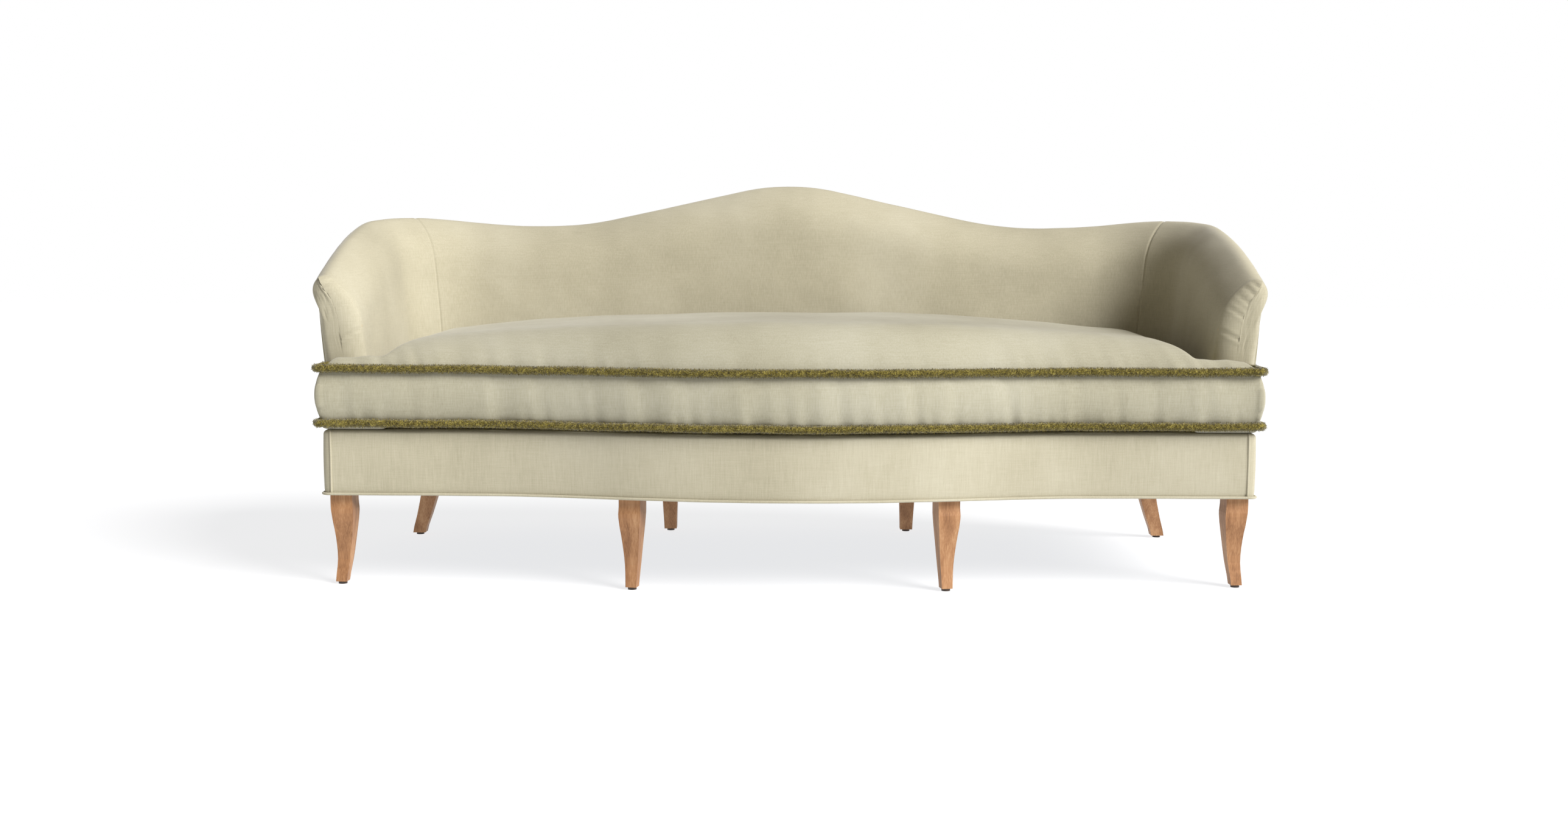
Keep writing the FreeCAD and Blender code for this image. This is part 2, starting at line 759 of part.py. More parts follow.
def panel_section(station):
    """Closed section of an outside panel, from the apron up to the roll."""
    out, level = station.under()
    foot = size("apron_top") + gap
    level -= gap
    return polygon([station.place(-board_out + gap, foot), station.place(0, foot),
                    station.place(out - 2.0, level), station.place(-board_out + gap, level)])


def loft(sections):
    """A solid through closed sections, straight from each to the next."""
    return Part.makeLoft(sections, True, True)


arm_places = [arm_station(stump_back_y + (corner_start_y - stump_back_y) * share)
              for share in (0, 0.25, 0.5, 0.75, 0.9, 1.0)]
arm_places += [corner_station(angle) for angle in (9, 18, 27, 36, 45)]
dip = size("dip_reach")
hump = size("hump_reach")
slope = size("slope_reach")
back_right = [back_station(x) for x in (0, hump / 3, hump * 2 / 3, hump, (hump + slope) / 2, slope, (slope + dip) / 2,
                                        dip, (dip + corner_x) / 2, corner_x)]
back_right += [corner_station(angle) for angle in (81, 72, 63, 54, 45)]
back_places = [flipped(station) for station in reversed(back_right[1:])] + back_right
left_arm_places = [flipped(station) for station in arm_places]

solid("inside_back", loft([pad_section(station) for station in back_places]))
solid("outside_back", loft([panel_section(station) for station in back_places]))
for side_name, places in (("left", left_arm_places), ("right", arm_places)):
    solid("inside_arm_" + side_name, loft([pad_section(station) for station in places]))
    solid("outside_arm_" + side_name, loft([panel_section(station) for station in places]))


def scroll_outline(station, inset=0.0):
    """The whole outline of the arm end, drawn in by inset except along its foot."""
    face = face_points(station)
    points = face + [station.place(0, deck_top + gap)]
    if inset <= 0:
        return polygon(points)
    drawn = [points[0] + V(inset, 0, 0)]
    for before, here, after in zip(points, points[1:], points[2:]):
        way = (after - before).normalize()
        drawn.append(here + V(way.z, 0, -way.x) * inset)
    drawn.append(points[-1] - V(inset, 0, 0))
    return polygon(drawn)


rim = size("facing_round")
facing_rings = [scroll_outline(arm_station(facing_back_y))]
for angle in (0, 25, 50, 70, 90):
    turn = radians(angle)
    ring = scroll_outline(arm_station(-size("arm_front")), rim * (1 - cos(turn)))
    ring.translate(V(0, rim * (1 - sin(turn)), 0))
    facing_rings.append(ring)
facing = loft(facing_rings)
stump = Part.Face(scroll_outline(arm_station(facing_back_y))).extrude(V(0, board_thick - gap, 0))
stump = stump.fuse(Part.makeBox(board_thick, board_thick - gap, deck_top + 1.0 - rail_top,
                                V(half_width - board_in, facing_back_y, rail_top)))
stump = stump.removeSplitter()
for side_name, mirror in (("left", True), ("right", False)):
    for label, shape in (("arm_front_", facing), ("arm_stump_", stump)):
        shaped = shape.mirror(V(0, 0, 0), V(1, 0, 0)) if mirror else shape
        solid(label + side_name, shaped)

# Boards inside the wall
crest_drop = size("back_roll") * (1 + sin(radians(50))) + size("board_clear")
arm_drop = size("arm_roll") * (1 + sin(radians(50))) + size("board_clear")


def crest_line(first, last, drop):
    middle = (first + last) / 2
    return arc(V(first, crest_height(first) - drop, 0), V(middle, crest_height(middle) - drop, 0),
               V(last, crest_height(last) - drop, 0))


def crest_outline():
    """Front view of the crest rail: a camel top edge and the same edge below it."""
    stops = [-corner_x, -size("dip_reach"), -size("slope_reach"), -size("hump_reach"),
             size("hump_reach"), size("slope_reach"), size("dip_reach"), corner_x]
    upper = []
    lower = []
    deep = size("crest_rail_deep")
    for first, last in zip(stops, stops[1:]):
        if abs(abs(first) - abs(last)) > size("dip_reach") - size("slope_reach") + 1.0:
            upper.append(line(V(first, crest_height(first) - crest_drop, 0),
                              V(last, crest_height(last) - crest_drop, 0)))
            lower.append(line(V(first, crest_height(first) - crest_drop - deep, 0),
                              V(last, crest_height(last) - crest_drop - deep, 0)))
        else:
            upper.append(crest_line(first, last, crest_drop))
            lower.append(crest_line(first, last, crest_drop + deep))
    return band(upper, lower)


padded("crest_rail", crest_outline(), "-Sizes.back_depth + Sizes.outside_pad",
       "-Sizes.back_depth + Sizes.outside_pad + Sizes.board_thick", "XZ_Plane")

corner_rail_top = min(crest_height(corner_x), crest_height(dip)) - crest_drop
corner_rail_low = corner_rail_top - size("crest_rail_deep")
upper_corner = block(band([corner_run(board_out + size("board_clear"), 0, 90)], [corner_run(board_in, 0, 90)]),
                     corner_rail_low, corner_rail_top)
arm_top = [V(half_width - board_in, y, arm_height(y + size("arm_front")) - arm_drop)
           for y in (stump_back_y, (stump_back_y + corner_start_y) / 2, corner_start_y)]
down = V(0, 0, -size("arm_rail_deep"))
arm_rail_pieces = [arc(*arm_top), line(arm_top[2], arm_top[2] + down),
                   arc(arm_top[2] + down, arm_top[1] + down, arm_top[0] + down), line(arm_top[0] + down, arm_top[0])]
arm_rail = Part.Face(Part.Wire([piece.toShape() for piece in arm_rail_pieces])).extrude(V(board_thick, 0, 0))
for side_name, mirror in (("left", True), ("right", False)):
    for label, shape in (("upper_corner_rail_", upper_corner), ("arm_top_rail_", arm_rail)):
        shaped = shape.mirror(V(0, 0, 0), V(1, 0, 0)) if mirror else shape
        solid(label + side_name, shaped)

lower_z = "Sizes.deck_top + Sizes.lower_rail_gap"
for side_name, sign in (("left", -1), ("right", 1)):
    inner_edge = "Sizes.half_width - Sizes.outside_pad - Sizes.board_thick"
    if sign < 0:
        inner_edge = "-Sizes.half_width + Sizes.outside_pad"
    corner_line = "Sizes.back_depth - Sizes.corner_radius"
    stump_line = "-Sizes.arm_front + Sizes.facing_thick + Sizes.board_thick"
    box("arm_lower_rail_" + side_name, "Sizes.board_thick",
        "(%s) - (%s) - Sizes.post_wide" % (corner_line, stump_line), "Sizes.lower_rail_deep",
        inner_edge, stump_line, lower_z)
    post_top = arm_height(corner_start_y - size("post_wide") + size("arm_front")) - arm_drop
    post_top -= size("arm_rail_deep") + gap
    post = Part.makeBox(board_thick, size("post_wide"), post_top - rail_top,
                        V(half_width - board_in, corner_start_y - size("post_wide"), rail_top))
    back_post = Part.makeBox(size("post_wide"), board_thick, corner_rail_low - rail_top,
                             V(corner_x - size("post_wide"), back_y - board_in, rail_top))
    post_edge = size("centre_post_at") + size("post_wide") / 2
    crest_low = crest_height(post_edge) - crest_drop - size("crest_rail_deep")
    lower_top = deck_top + size("lower_rail_gap") + size("lower_rail_deep")
    centre_post = Part.makeBox(size("post_wide"), board_thick, crest_low - lower_top,
                               V(size("centre_post_at") - size("post_wide") / 2, back_y - board_in, lower_top))
    for label, shape in (("arm_post_", post), ("back_post_", back_post), ("centre_post_", centre_post)):
        shaped = shape.mirror(V(0, 0, 0), V(1, 0, 0)) if sign < 0 else shape
        solid(label + side_name, shaped)
box("back_lower_rail", "2 * (Sizes.half_width - Sizes.corner_radius - Sizes.post_wide)", "Sizes.board_thick",
    "Sizes.lower_rail_deep", "-(Sizes.half_width - Sizes.corner_radius - Sizes.post_wide)",
    "Sizes.back_depth - Sizes.outside_pad - Sizes.board_thick", lower_z)
doc.recompute()

# Seat cushion
trim_radius = size("trim_radius")
ear_x = half_width + size("ear_side")
neck_x = half_width - size("arm_wall") - size("cushion_clear")
ear_y = -size("arm_front") - size("ear_clear")
rear_y = back_y - size("back_wall") - size("cushion_clear")
seam_inset = 2 * trim_radius + size("trim_gap")
CORNER_ANGLES = (20, 40, 60, 78, 90)


def front_places():
    """X of the cushion's sections from the middle to the rear corner."""
    start = neck_x - size("cushion_corner")
    return [wave * share for share in (0, 0.22, 0.44, 0.66, 0.88, 1.1, 1.4, 1.7)] + [start]


def trim(level):
    """A round trim along the T-shaped edge at one seam."""
    inset = trim_radius
    side = ear_x - inset
    front = corner_y - size("overhang") + inset
    corner = size("ear_corner")
    half = [V(x, front_y(x) - size("overhang") + inset, 0) for x in front_places()[1:]]
    half.append(V(side - corner, front, 0))
    for turn in (30, 60, 90):
        swing = radians(turn)
        half.append(V(side - corner + corner * sin(swing), front + corner - corner * cos(swing), 0))
    for turn in (0, 30, 60, 90):
        swing = radians(turn)
        half.append(V(side - corner + corner * cos(swing), ear_y - inset - corner + corner * sin(swing), 0))
    half.append(V(neck_x - inset, ear_y - inset, 0))
    start = neck_x - size("cushion_corner")
    bend = size("cushion_corner") - inset
    for turn in reversed((0,) + CORNER_ANGLES):
        swing = radians(turn)
        half.append(V(start + bend * sin(swing), rear_y - inset - bend + bend * cos(swing), 0))
    middle_front = V(0, front_y(0) - size("overhang") + inset, 0)
    loop = [middle_front] + half + [flip(point) for point in reversed(half)]
    return rope([point + V(0, 0, level) for point in loop], trim_radius, 8)


def crown_at(x):
    share = min(abs(x) / ear_x, 1.0)
    return size("ear_crown") + (size("crown") - size("ear_crown")) * (1 - share ** 4)


def rear_at(x, inset):
    """Rear seam of the cushion at X, rounded at the corners."""
    corner = size("cushion_corner")
    bend = corner - inset
    over = min(max(0.0, abs(x) - (neck_x - corner)), bend)
    return rear_y - corner + (bend ** 2 - over ** 2) ** 0.5


def cushion_section(x, back, crown, inset):
    """Front boxing, crown, rear boxing and underside at X."""
    front = front_y(x) - size("overhang") + seam_inset + inset
    low = size("low_seam") + inset
    high = size("high_seam") - inset
    middle = (low + high) / 2
    sole = size("sole_inset")
    swell = size("boxing_swell")
    bottom = deck_top + size("cushion_rest") + inset
    points = along_arc(V(x, front, low), V(x, front - swell, middle), V(x, front, high), 4)
    points += along_arc(V(x, front, high), V(x, (front + back) / 2, high + crown), V(x, back, high), 8)
    points += along_arc(V(x, back, high), V(x, back + swell, middle), V(x, back, low), 4)
    points += [V(x, back - sole, bottom), V(x, front + sole, bottom)]
    return polygon(points)


def cushion_body(inset):
    """The middle between the arms and an ear ahead of each arm."""
    drawn_in = seam_inset + inset
    start = neck_x - size("cushion_corner")
    bend = size("cushion_corner") - drawn_in
    edge = start + bend
    halves = front_places() + [start + bend * sin(radians(angle)) for angle in CORNER_ANGLES]
    stations = [-x for x in reversed(halves[1:])] + halves
    body = loft([cushion_section(x, rear_at(x, drawn_in), crown_at(x), inset)
                 for x in stations])
    outer_edge = ear_x - seam_inset - inset
    for side in (-1, 1):
        places = [edge, (edge + outer_edge) / 2, outer_edge]
        ear = loft([cushion_section(side * x, ear_y - drawn_in, size("ear_crown"), inset)
                    for x in places])
        body = body.fuse(ear)
    return body


cushion = cushion_body(0.0)
hollow = cushion_body(size("cover_thick"))
insert = cushion_body(size("cover_thick") + size("insert_clear"))
solid("cushion_cover", cushion.cut(hollow))
solid("cushion_insert", insert)
solid("cushion_top_trim", trim(size("high_seam")))
solid("cushion_bottom_trim", trim(size("low_seam")))

zip_level = (size("low_seam") + size("high_seam")) / 2
zip_y = rear_y - seam_inset + size("boxing_swell") + gap
slider_y = zip_y + size("zip_thick") + gap
solid("cushion_zip", Part.makeBox(2 * size("zip_half"), size("zip_thick"), size("zip_wide"),
                                  V(-size("zip_half"), zip_y, zip_level - size("zip_wide") / 2)))
solid("zip_slider", Part.makeBox(size("slider_long"), size("slider_thick"), size("slider_wide"),
                                 V(size("zip_half") - size("zip_end") - size("slider_long"), slider_y,
                                   zip_level - size("slider_wide") / 2)))

# Checks, then one file for each sub-part
doc.recompute()
for item in doc.Objects:
    if "Invalid" in item.State or "Error" in item.State:
        raise RuntimeError("%s failed" % item.Label)
total = 0.0
for item in nodes:
    if item.Shape.isNull() or not item.Shape.isValid():
        raise RuntimeError("%s has no valid shape" % item.Label)
    if item.Shape.Volume <= 0:
        raise RuntimeError("%s holds nothing" % item.Label)
    total += item.Shape.Volume

os.makedirs("parts", exist_ok=True)
for item in nodes:
    item.Shape.exportStep("parts/%s.step" % item.Label)
print("%d sub-parts, %.4f cubic metres of solid" % (len(nodes), total / 1e9))
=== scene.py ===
# Camelback sofa: linen upholstery, brush trim and oak legs, dressed over its frame.
# Metres. X runs along the sofa, the front faces -Y, Z is up.
import bmesh
import bpy
import json
import math
import random
from mathutils import Matrix, Vector, noise


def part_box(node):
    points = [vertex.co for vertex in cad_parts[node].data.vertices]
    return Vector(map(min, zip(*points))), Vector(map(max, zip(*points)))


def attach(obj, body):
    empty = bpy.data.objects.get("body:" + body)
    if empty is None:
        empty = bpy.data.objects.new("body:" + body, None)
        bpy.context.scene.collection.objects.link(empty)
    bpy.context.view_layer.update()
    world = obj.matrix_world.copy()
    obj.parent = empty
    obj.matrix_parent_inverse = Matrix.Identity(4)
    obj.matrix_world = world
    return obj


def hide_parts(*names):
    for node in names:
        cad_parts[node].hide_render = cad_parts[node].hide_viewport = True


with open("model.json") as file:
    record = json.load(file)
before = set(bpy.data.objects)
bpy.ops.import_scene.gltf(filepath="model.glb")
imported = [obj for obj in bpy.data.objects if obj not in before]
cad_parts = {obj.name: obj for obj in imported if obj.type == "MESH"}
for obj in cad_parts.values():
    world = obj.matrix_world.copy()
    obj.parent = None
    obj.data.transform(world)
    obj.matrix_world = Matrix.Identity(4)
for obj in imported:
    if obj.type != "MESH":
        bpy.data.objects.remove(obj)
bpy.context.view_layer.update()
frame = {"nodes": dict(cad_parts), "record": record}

X, Y, Z = range(3)
LOW, HIGH = range(2)
UP = Vector((0, 0, 1))
SIDES = ((-1, "left"), (1, "right"))


def edge_of(node_name, end, axis):
    """One side of a frame piece's box, to the micrometre."""
    return round(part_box(node_name)[end][axis], 6)


# Sizes taken from the frame
HALF_WIDTH = edge_of("apron_right", HIGH, X)
BACK_Y = edge_of("apron_back", HIGH, Y)
BASE_BOTTOM = edge_of("apron_front", LOW, Z)
APRON_TOP = edge_of("apron_front", HIGH, Z)
DECK_TOP = edge_of("seat_deck", HIGH, Z)
ARM_FRONT_Y = edge_of("arm_front_right", LOW, Y)
ARM_WALL = HALF_WIDTH - edge_of("arm_front_right", LOW, X)
PEAK_TOP = edge_of("inside_back", HIGH, Z)
GAP = edge_of("inside_back", LOW, Z) - DECK_TOP

# Plan of the sofa
CORNER_Y = -0.350
BOW = 0.092
WAVE = 0.400
CORNER_RADIUS = 0.260
FRONT_CORNER = 0.012
BACK_WALL = 0.150

# Boards under the cloth, and the rolls of back and arms
BOARD_OUT = 0.014
BOARD_IN = 0.042
ARM_ROLL = 0.035
BACK_ROLL = 0.045
ROLL_SWEEP = 140
ARM_LEAN = 0.005
BACK_LEAN = 0.010

# Line of the crest and of the arms
ARM_FRONT_TOP = 0.694
HUMP_REACH = 0.127
SLOPE_REACH = 0.450
DIP_REACH = 0.650
RISE_REACH = 0.900
SHOULDER_REACH = 0.975
CREST_SLOPE = 0.22
SHOULDER_SLOPE = 0.12

# Seat cushion
TRIM_RADIUS = 0.009
OVERHANG = 0.020
CUSHION_CLEAR = 0.004
CUSHION_CORNER = 0.130
SEAM_RISE = 0.017
BOXING_HEIGHT = 0.123
CROWN = 0.108

# Lengths along the wall, from the middle of the back round to the arm front
CORNER_X = HALF_WIDTH - CORNER_RADIUS
CORNER_START_Y = BACK_Y - CORNER_RADIUS
QUARTER = CORNER_RADIUS * math.pi / 2
CORNER_END = CORNER_X + QUARTER
ARM_LENGTH = CORNER_START_Y - ARM_FRONT_Y
PATH_END = CORNER_END + ARM_LENGTH
SEAM_AT = CORNER_X + QUARTER / 2
WALL_LENGTH = ARM_LENGTH + QUARTER / 2

# Lengths along the base, from the middle of the back round to the middle of the front
TURN_START = CORNER_END + CORNER_START_Y - CORNER_Y - FRONT_CORNER
TURN_END = TURN_START + FRONT_CORNER * math.pi / 2
BASE_HALF = TURN_END + HALF_WIDTH - FRONT_CORNER
WELT_BEYOND = 0.006
WELT_AT = TURN_END + WELT_BEYOND

# Outline and seams of the cushion
BOW_RADIUS = (WAVE ** 2 + (BOW / 2) ** 2) / BOW
EAR_X = HALF_WIDTH + OVERHANG
EAR_Y = ARM_FRONT_Y - CUSHION_CLEAR
NECK_X = HALF_WIDTH - ARM_WALL - CUSHION_CLEAR
REAR_Y = BACK_Y - BACK_WALL - CUSHION_CLEAR
LOW_SEAM = DECK_TOP + SEAM_RISE
HIGH_SEAM = LOW_SEAM + BOXING_HEIGHT
SEAM_ALLOWANCE = 0.001
SEAM_INSET = 2 * TRIM_RADIUS + SEAM_ALLOWANCE


# Shape of the sofa in plan and in height

def front_y(x):
    """Y of the serpentine front at X."""
    across = min(abs(x), 2 * WAVE)
    if across <= WAVE:
        return CORNER_Y - BOW + BOW_RADIUS - math.sqrt(BOW_RADIUS ** 2 - across ** 2)
    return CORNER_Y - BOW_RADIUS + math.sqrt(BOW_RADIUS ** 2 - (2 * WAVE - across) ** 2)


def crest_height(x):
    """Top of the back at X."""
    across = min(abs(x), SHOULDER_REACH)
    level = PEAK_TOP
    level -= CREST_SLOPE * min(across, HUMP_REACH) ** 2 / (2 * HUMP_REACH)
    level -= CREST_SLOPE * max(0.0, min(across, SLOPE_REACH) - HUMP_REACH)
    part = max(0.0, min(across, DIP_REACH) - SLOPE_REACH)
    level -= CREST_SLOPE * (part - part ** 2 / (2 * (DIP_REACH - SLOPE_REACH)))
    part = max(0.0, min(across, RISE_REACH) - DIP_REACH)
    level += SHOULDER_SLOPE * part ** 2 / (2 * (RISE_REACH - DIP_REACH))
    part = max(0.0, across - RISE_REACH)
    level += SHOULDER_SLOPE * (part - part ** 2 / (2 * (SHOULDER_REACH - RISE_REACH)))
    return level


def arm_height(distance):
    """Top of the arm, measured along it from its front."""
    share = 1 - distance / WALL_LENGTH
    top = crest_height(SHOULDER_REACH)
    return top - (top - ARM_FRONT_TOP) * share ** 2


class Station:
    """A place along the wall of back and arms: its outside point, the way out and its sizes."""

    def __init__(self, along):
        side = -1.0 if along < 0 else 1.0
        path = abs(along)
        if path <= CORNER_X:
            point, way, weight = Vector((path, BACK_Y, 0)), Vector((0, 1, 0)), 1.0
        elif path <= CORNER_END:
            turn = math.pi / 2 - (path - CORNER_X) / CORNER_RADIUS
            way = Vector((math.cos(turn), math.sin(turn), 0))
            point = Vector((CORNER_X, CORNER_START_Y, 0)) + way * CORNER_RADIUS
            weight = math.sin(turn) ** 2
        else:
            point = Vector((HALF_WIDTH, CORNER_START_Y - (path - CORNER_END), 0))
            way, weight = Vector((1, 0, 0)), 0.0
        self.point = Vector((side * point.x, point.y, 0))
        self.way = Vector((side * way.x, way.y, 0))
        self.top = crest_height(point.x) if path <= SEAM_AT else arm_height(PATH_END - path)
        self.wall = ARM_WALL + (BACK_WALL - ARM_WALL) * weight
        self.roll = ARM_ROLL + (BACK_ROLL - ARM_ROLL) * weight
        self.lean = ARM_LEAN - (BACK_LEAN + ARM_LEAN) * weight

    def place(self, out, level):
        """Point at a distance out from the wall line and a level above the floor."""
        return self.point + self.way * out + UP * level

    def under(self):
        """Where the roll ends underneath, as an (out, level) pair."""
        swing = math.radians(ROLL_SWEEP - 90)
        return self.lean + self.roll * math.cos(swing), self.top - self.roll * (1 + math.sin(swing))


PAD_STEPS = 14
PAD_SWELL = 0.006
PAD_BELLY = 0.024
SHOULDER_DROP = 0.150
SHOULDER_BACK = 0.055
SHOULDER_SHARE = 0.25
ROLL_STEPS = 16
EASING_PASSES = 3


def face_profile(station):
    """The padded face from the deck up and over the roll, as smooth (out, level) pairs."""
    foot = DECK_TOP + GAP
    shoulder_out = station.lean - station.wall * SHOULDER_SHARE - SHOULDER_BACK
    shoulder_level = station.top - SHOULDER_DROP
    points = []
    for step in range(PAD_STEPS):
        share = step / PAD_STEPS
        out = -station.wall + (shoulder_out + station.wall) * share
        swell = PAD_SWELL * math.sin(math.pi * share)
        points.append((out - swell, foot + (shoulder_level - foot) * share))
    run = station.lean - shoulder_out
    length = math.hypot(run, SHOULDER_DROP)
    for step in range(PAD_STEPS + 1):
        share = step / PAD_STEPS
        push = PAD_BELLY * math.sin(math.pi * share)
        points.append((shoulder_out + run * share - push * SHOULDER_DROP / length,
                       shoulder_level + SHOULDER_DROP * share + push * run / length))
    for step in range(1, ROLL_STEPS + 1):
        swing = math.radians(90 - step * ROLL_SWEEP / ROLL_STEPS)
        points.append((station.lean + station.roll * math.cos(swing),
                       station.top - station.roll + station.roll * math.sin(swing)))
    for _ in range(EASING_PASSES):
        eased = [points[0]]
        for before, here, after in zip(points, points[1:], points[2:]):
            eased.append(tuple((a + 2 * b + c) / 4 for a, b, c in zip(before, here, after)))
        points = eased + [points[-1]]
    return points


# Mesh helpers

STEEP = 0.9


def make_object(name, verts, faces, smooth=True):
    """An object in the scene, its faces turned outward."""
    mesh = bpy.data.meshes.new(name)
    mesh.from_pydata([tuple(point) for point in verts], [], faces)
    mesh.validate()
    mesh.update()
    obj = bpy.data.objects.new(name, mesh)
    bpy.context.scene.collection.objects.link(obj)
    work = bmesh.new()
    work.from_mesh(mesh)
    bmesh.ops.recalc_face_normals(work, faces=work.faces)
    work.to_mesh(mesh)
    work.free()
    for face in mesh.polygons:
        face.use_smooth = smooth
    return obj


def band_faces(rows, count, closed=False):
    """Quads between neighbouring loops of count points."""
    faces = []
    for row in range(rows if closed else rows - 1):
        here = row * count
        onward = (row + 1) % rows * count
        for index in range(count):
            after = (index + 1) % count
            faces.append((here + index, here + after, onward + after, onward + index))
    return faces


def loft_object(name, loops, cap_last=True):
    """A skin through closed loops of equal length, capped at its first end and, if asked, its last."""
    count = len(loops[0])
    verts = [point for loop in loops for point in loop]
    faces = band_faces(len(loops), count)
    faces.append(tuple(range(count)))
    if cap_last:
        faces.append(tuple((len(loops) - 1) * count + index for index in reversed(range(count))))
    return make_object(name, verts, faces)


def tube(name, points, radius, sides, closed):
    """A round cord along points, closed on itself or capped at both ends."""
    count = len(points)
    rings = []
    for index, here in enumerate(points):
        before = points[index - 1] if closed or index else here
        after = points[(index + 1) % count] if closed or index < count - 1 else here
        along = (after - before).normalized()
        up = UP if abs(along.z) < STEEP else Vector((0, -1, 0))
        out = along.cross(up).normalized()
        up = out.cross(along)
        ring = []
        for corner in range(sides):
            turn = 2 * math.pi * corner / sides
            ring.append(here + out * radius * math.cos(turn) + up * radius * math.sin(turn))
        rings.append(ring)
    if closed:
        verts = [point for ring in rings for point in ring]
        return make_object(name, verts, band_faces(count, sides, closed=True))
    return loft_object(name, rings)


def sharpen(obj, angle):
    """Keep edges sharper than angle crisp under smooth shading."""
    mesh = obj.data
    work = bmesh.new()
    work.from_mesh(mesh)
    for edge in work.edges:
        if len(edge.link_faces) == 2 and edge.calc_face_angle(0.0) > math.radians(angle):
            edge.smooth = False
    work.to_mesh(mesh)
    work.free()


def relax(obj, rounds):
    """Even out the skin of a mesh over a number of rounds."""
    smooth = obj.modifiers.new("smooth", "CORRECTIVE_SMOOTH")
    smooth.use_only_smooth = True
    smooth.iterations = rounds
    bpy.context.view_layer.objects.active = obj
    bpy.ops.object.modifier_apply(modifier=smooth.name)


def spread(first, last, count):
    """Count values from first to last, evenly apart."""
    return [first + (last - first) * index / (count - 1) for index in range(count)]


def mirrored(point):
    return Vector((-point.x, point.y, point.z))


def ripple(place, scale, height):
    """Slight unevenness of hand-stretched cloth."""
    return height * noise.noise(Vector(place) * scale)


# Materials

def new_material(name):
    material = bpy.data.materials.new(name)
    material.use_nodes = True
    tree = material.node_tree
    return material, tree, tree.nodes["Principled BSDF"]


def object_coords(tree):
    return tree.nodes.new("ShaderNodeTexCoord").outputs["Object"]


def stretched_noise(tree, coords, scale, detail=3.0, rough=0.6):
    """Noise whose grain is drawn out along the axes with the smaller scales."""
    mapping = tree.nodes.new("ShaderNodeMapping")
    mapping.inputs["Scale"].default_value = scale
    tree.links.new(coords, mapping.inputs["Vector"])
    texture = tree.nodes.new("ShaderNodeTexNoise")
    texture.inputs["Scale"].default_value = 1.0
    texture.inputs["Detail"].default_value = detail
    texture.inputs["Roughness"].default_value = rough
    tree.links.new(mapping.outputs["Vector"], texture.inputs["Vector"])
    return texture.outputs["Fac"]


def math_node(tree, operation, first, second):
    """The result of a calculation on two sockets or numbers."""
    node = tree.nodes.new("ShaderNodeMath")
    node.operation = operation
    for socket, value in zip(node.inputs, (first, second)):
        if isinstance(value, (int, float)):
            socket.default_value = value
        else:
            tree.links.new(value, socket)
    return node.outputs[0]


def weighted_sum(tree, parts):
    """Sum of (pattern, weight) pairs."""
    shares = [math_node(tree, "MULTIPLY", pattern, weight) for pattern, weight in parts]
    total = shares[0]
    for share in shares[1:]:
        total = math_node(tree, "ADD", total, share)
    return total


def linear(red, green, blue):
    """Screen colour, 0 to 255, as a linear one."""
    values = []
    for value in (red, green, blue):
        share = value / 255
        values.append(share / 12.92 if share <= 0.04045 else ((share + 0.055) / 1.055) ** 2.4)
    return tuple(values)


def paint(tree, shader, pattern, colours, reach, rough, specular):
    """Screen colours from dark to light, spread over a pattern's values within reach of a half."""
    node = tree.nodes.new("ShaderNodeValToRGB")
    elements = node.color_ramp.elements
    while len(elements) < len(colours):
        elements.new(0.5)
    places = spread(0.5 - reach, 0.5 + reach, len(colours))
    for element, place, colour in zip(elements, places, colours):
        element.position = place
        element.color = (*linear(*colour), 1.0)
    tree.links.new(pattern, node.inputs["Fac"])
    tree.links.new(node.outputs["Color"], shader.inputs["Base Color"])
    shader.inputs["Roughness"].default_value = rough
    shader.inputs["Specular IOR Level"].default_value = specular


def emboss(tree, shader, pattern, strength, distance):
    """Raise the surface along a pattern."""
    bump = tree.nodes.new("ShaderNodeBump")
    bump.inputs["Strength"].default_value = strength
    bump.inputs["Distance"].default_value = distance
    tree.links.new(pattern, bump.inputs["Height"])
    tree.links.new(bump.outputs["Normal"], shader.inputs["Normal"])


def linen(name, colours, sheen):
    """Slubby linen: fine threads both ways, drawn-out slubs and a faint cloudiness."""
    material, tree, shader = new_material(name)
    coords = object_coords(tree)
    upright = stretched_noise(tree, coords, (420, 420, 22), detail=4.0)
    across = stretched_noise(tree, coords, (26, 26, 520))
    cloud = stretched_noise(tree, coords, (3.2, 3.2, 2.2), rough=0.5)
    fleck = stretched_noise(tree, coords, (900, 900, 500), detail=2.0)
    threads = weighted_sum(tree, ((upright, 0.27), (across, 0.15), (cloud, 0.44), (fleck, 0.14)))
    paint(tree, shader, threads, colours, reach=0.14, rough=0.92, specular=0.2)
    shader.inputs["Sheen Weight"].default_value = sheen
    shader.inputs["Sheen Roughness"].default_value = 0.5
    emboss(tree, shader, threads, strength=0.22, distance=0.0008)
    return material


def brush(name, colours):
    """Cut pile: dense speckle of light and dark tips."""
    material, tree, shader = new_material(name)
    coords = object_coords(tree)
    tips = stretched_noise(tree, coords, (420, 420, 420), detail=2.0, rough=0.7)
    tufts = stretched_noise(tree, coords, (120, 120, 120), detail=2.0)
    pile = weighted_sum(tree, ((tips, 0.65), (tufts, 0.35)))
    paint(tree, shader, pile, colours, reach=0.13, rough=0.95, specular=0.15)
    shader.inputs["Sheen Weight"].default_value = 0.5
    emboss(tree, shader, pile, strength=0.7, distance=0.002)
    return material


def oak(name, colours, rough):
    """Upright oak grain with fine pores."""
    material, tree, shader = new_material(name)
    coords = object_coords(tree)
    figure = stretched_noise(tree, coords, (38, 38, 5), detail=4.0)
    pores = stretched_noise(tree, coords, (520, 520, 26))
    grain = weighted_sum(tree, ((figure, 0.62), (pores, 0.38)))
    paint(tree, shader, grain, colours, reach=0.16, rough=rough, specular=0.35)
    emboss(tree, shader, grain, strength=0.15, distance=0.0006)
    return material


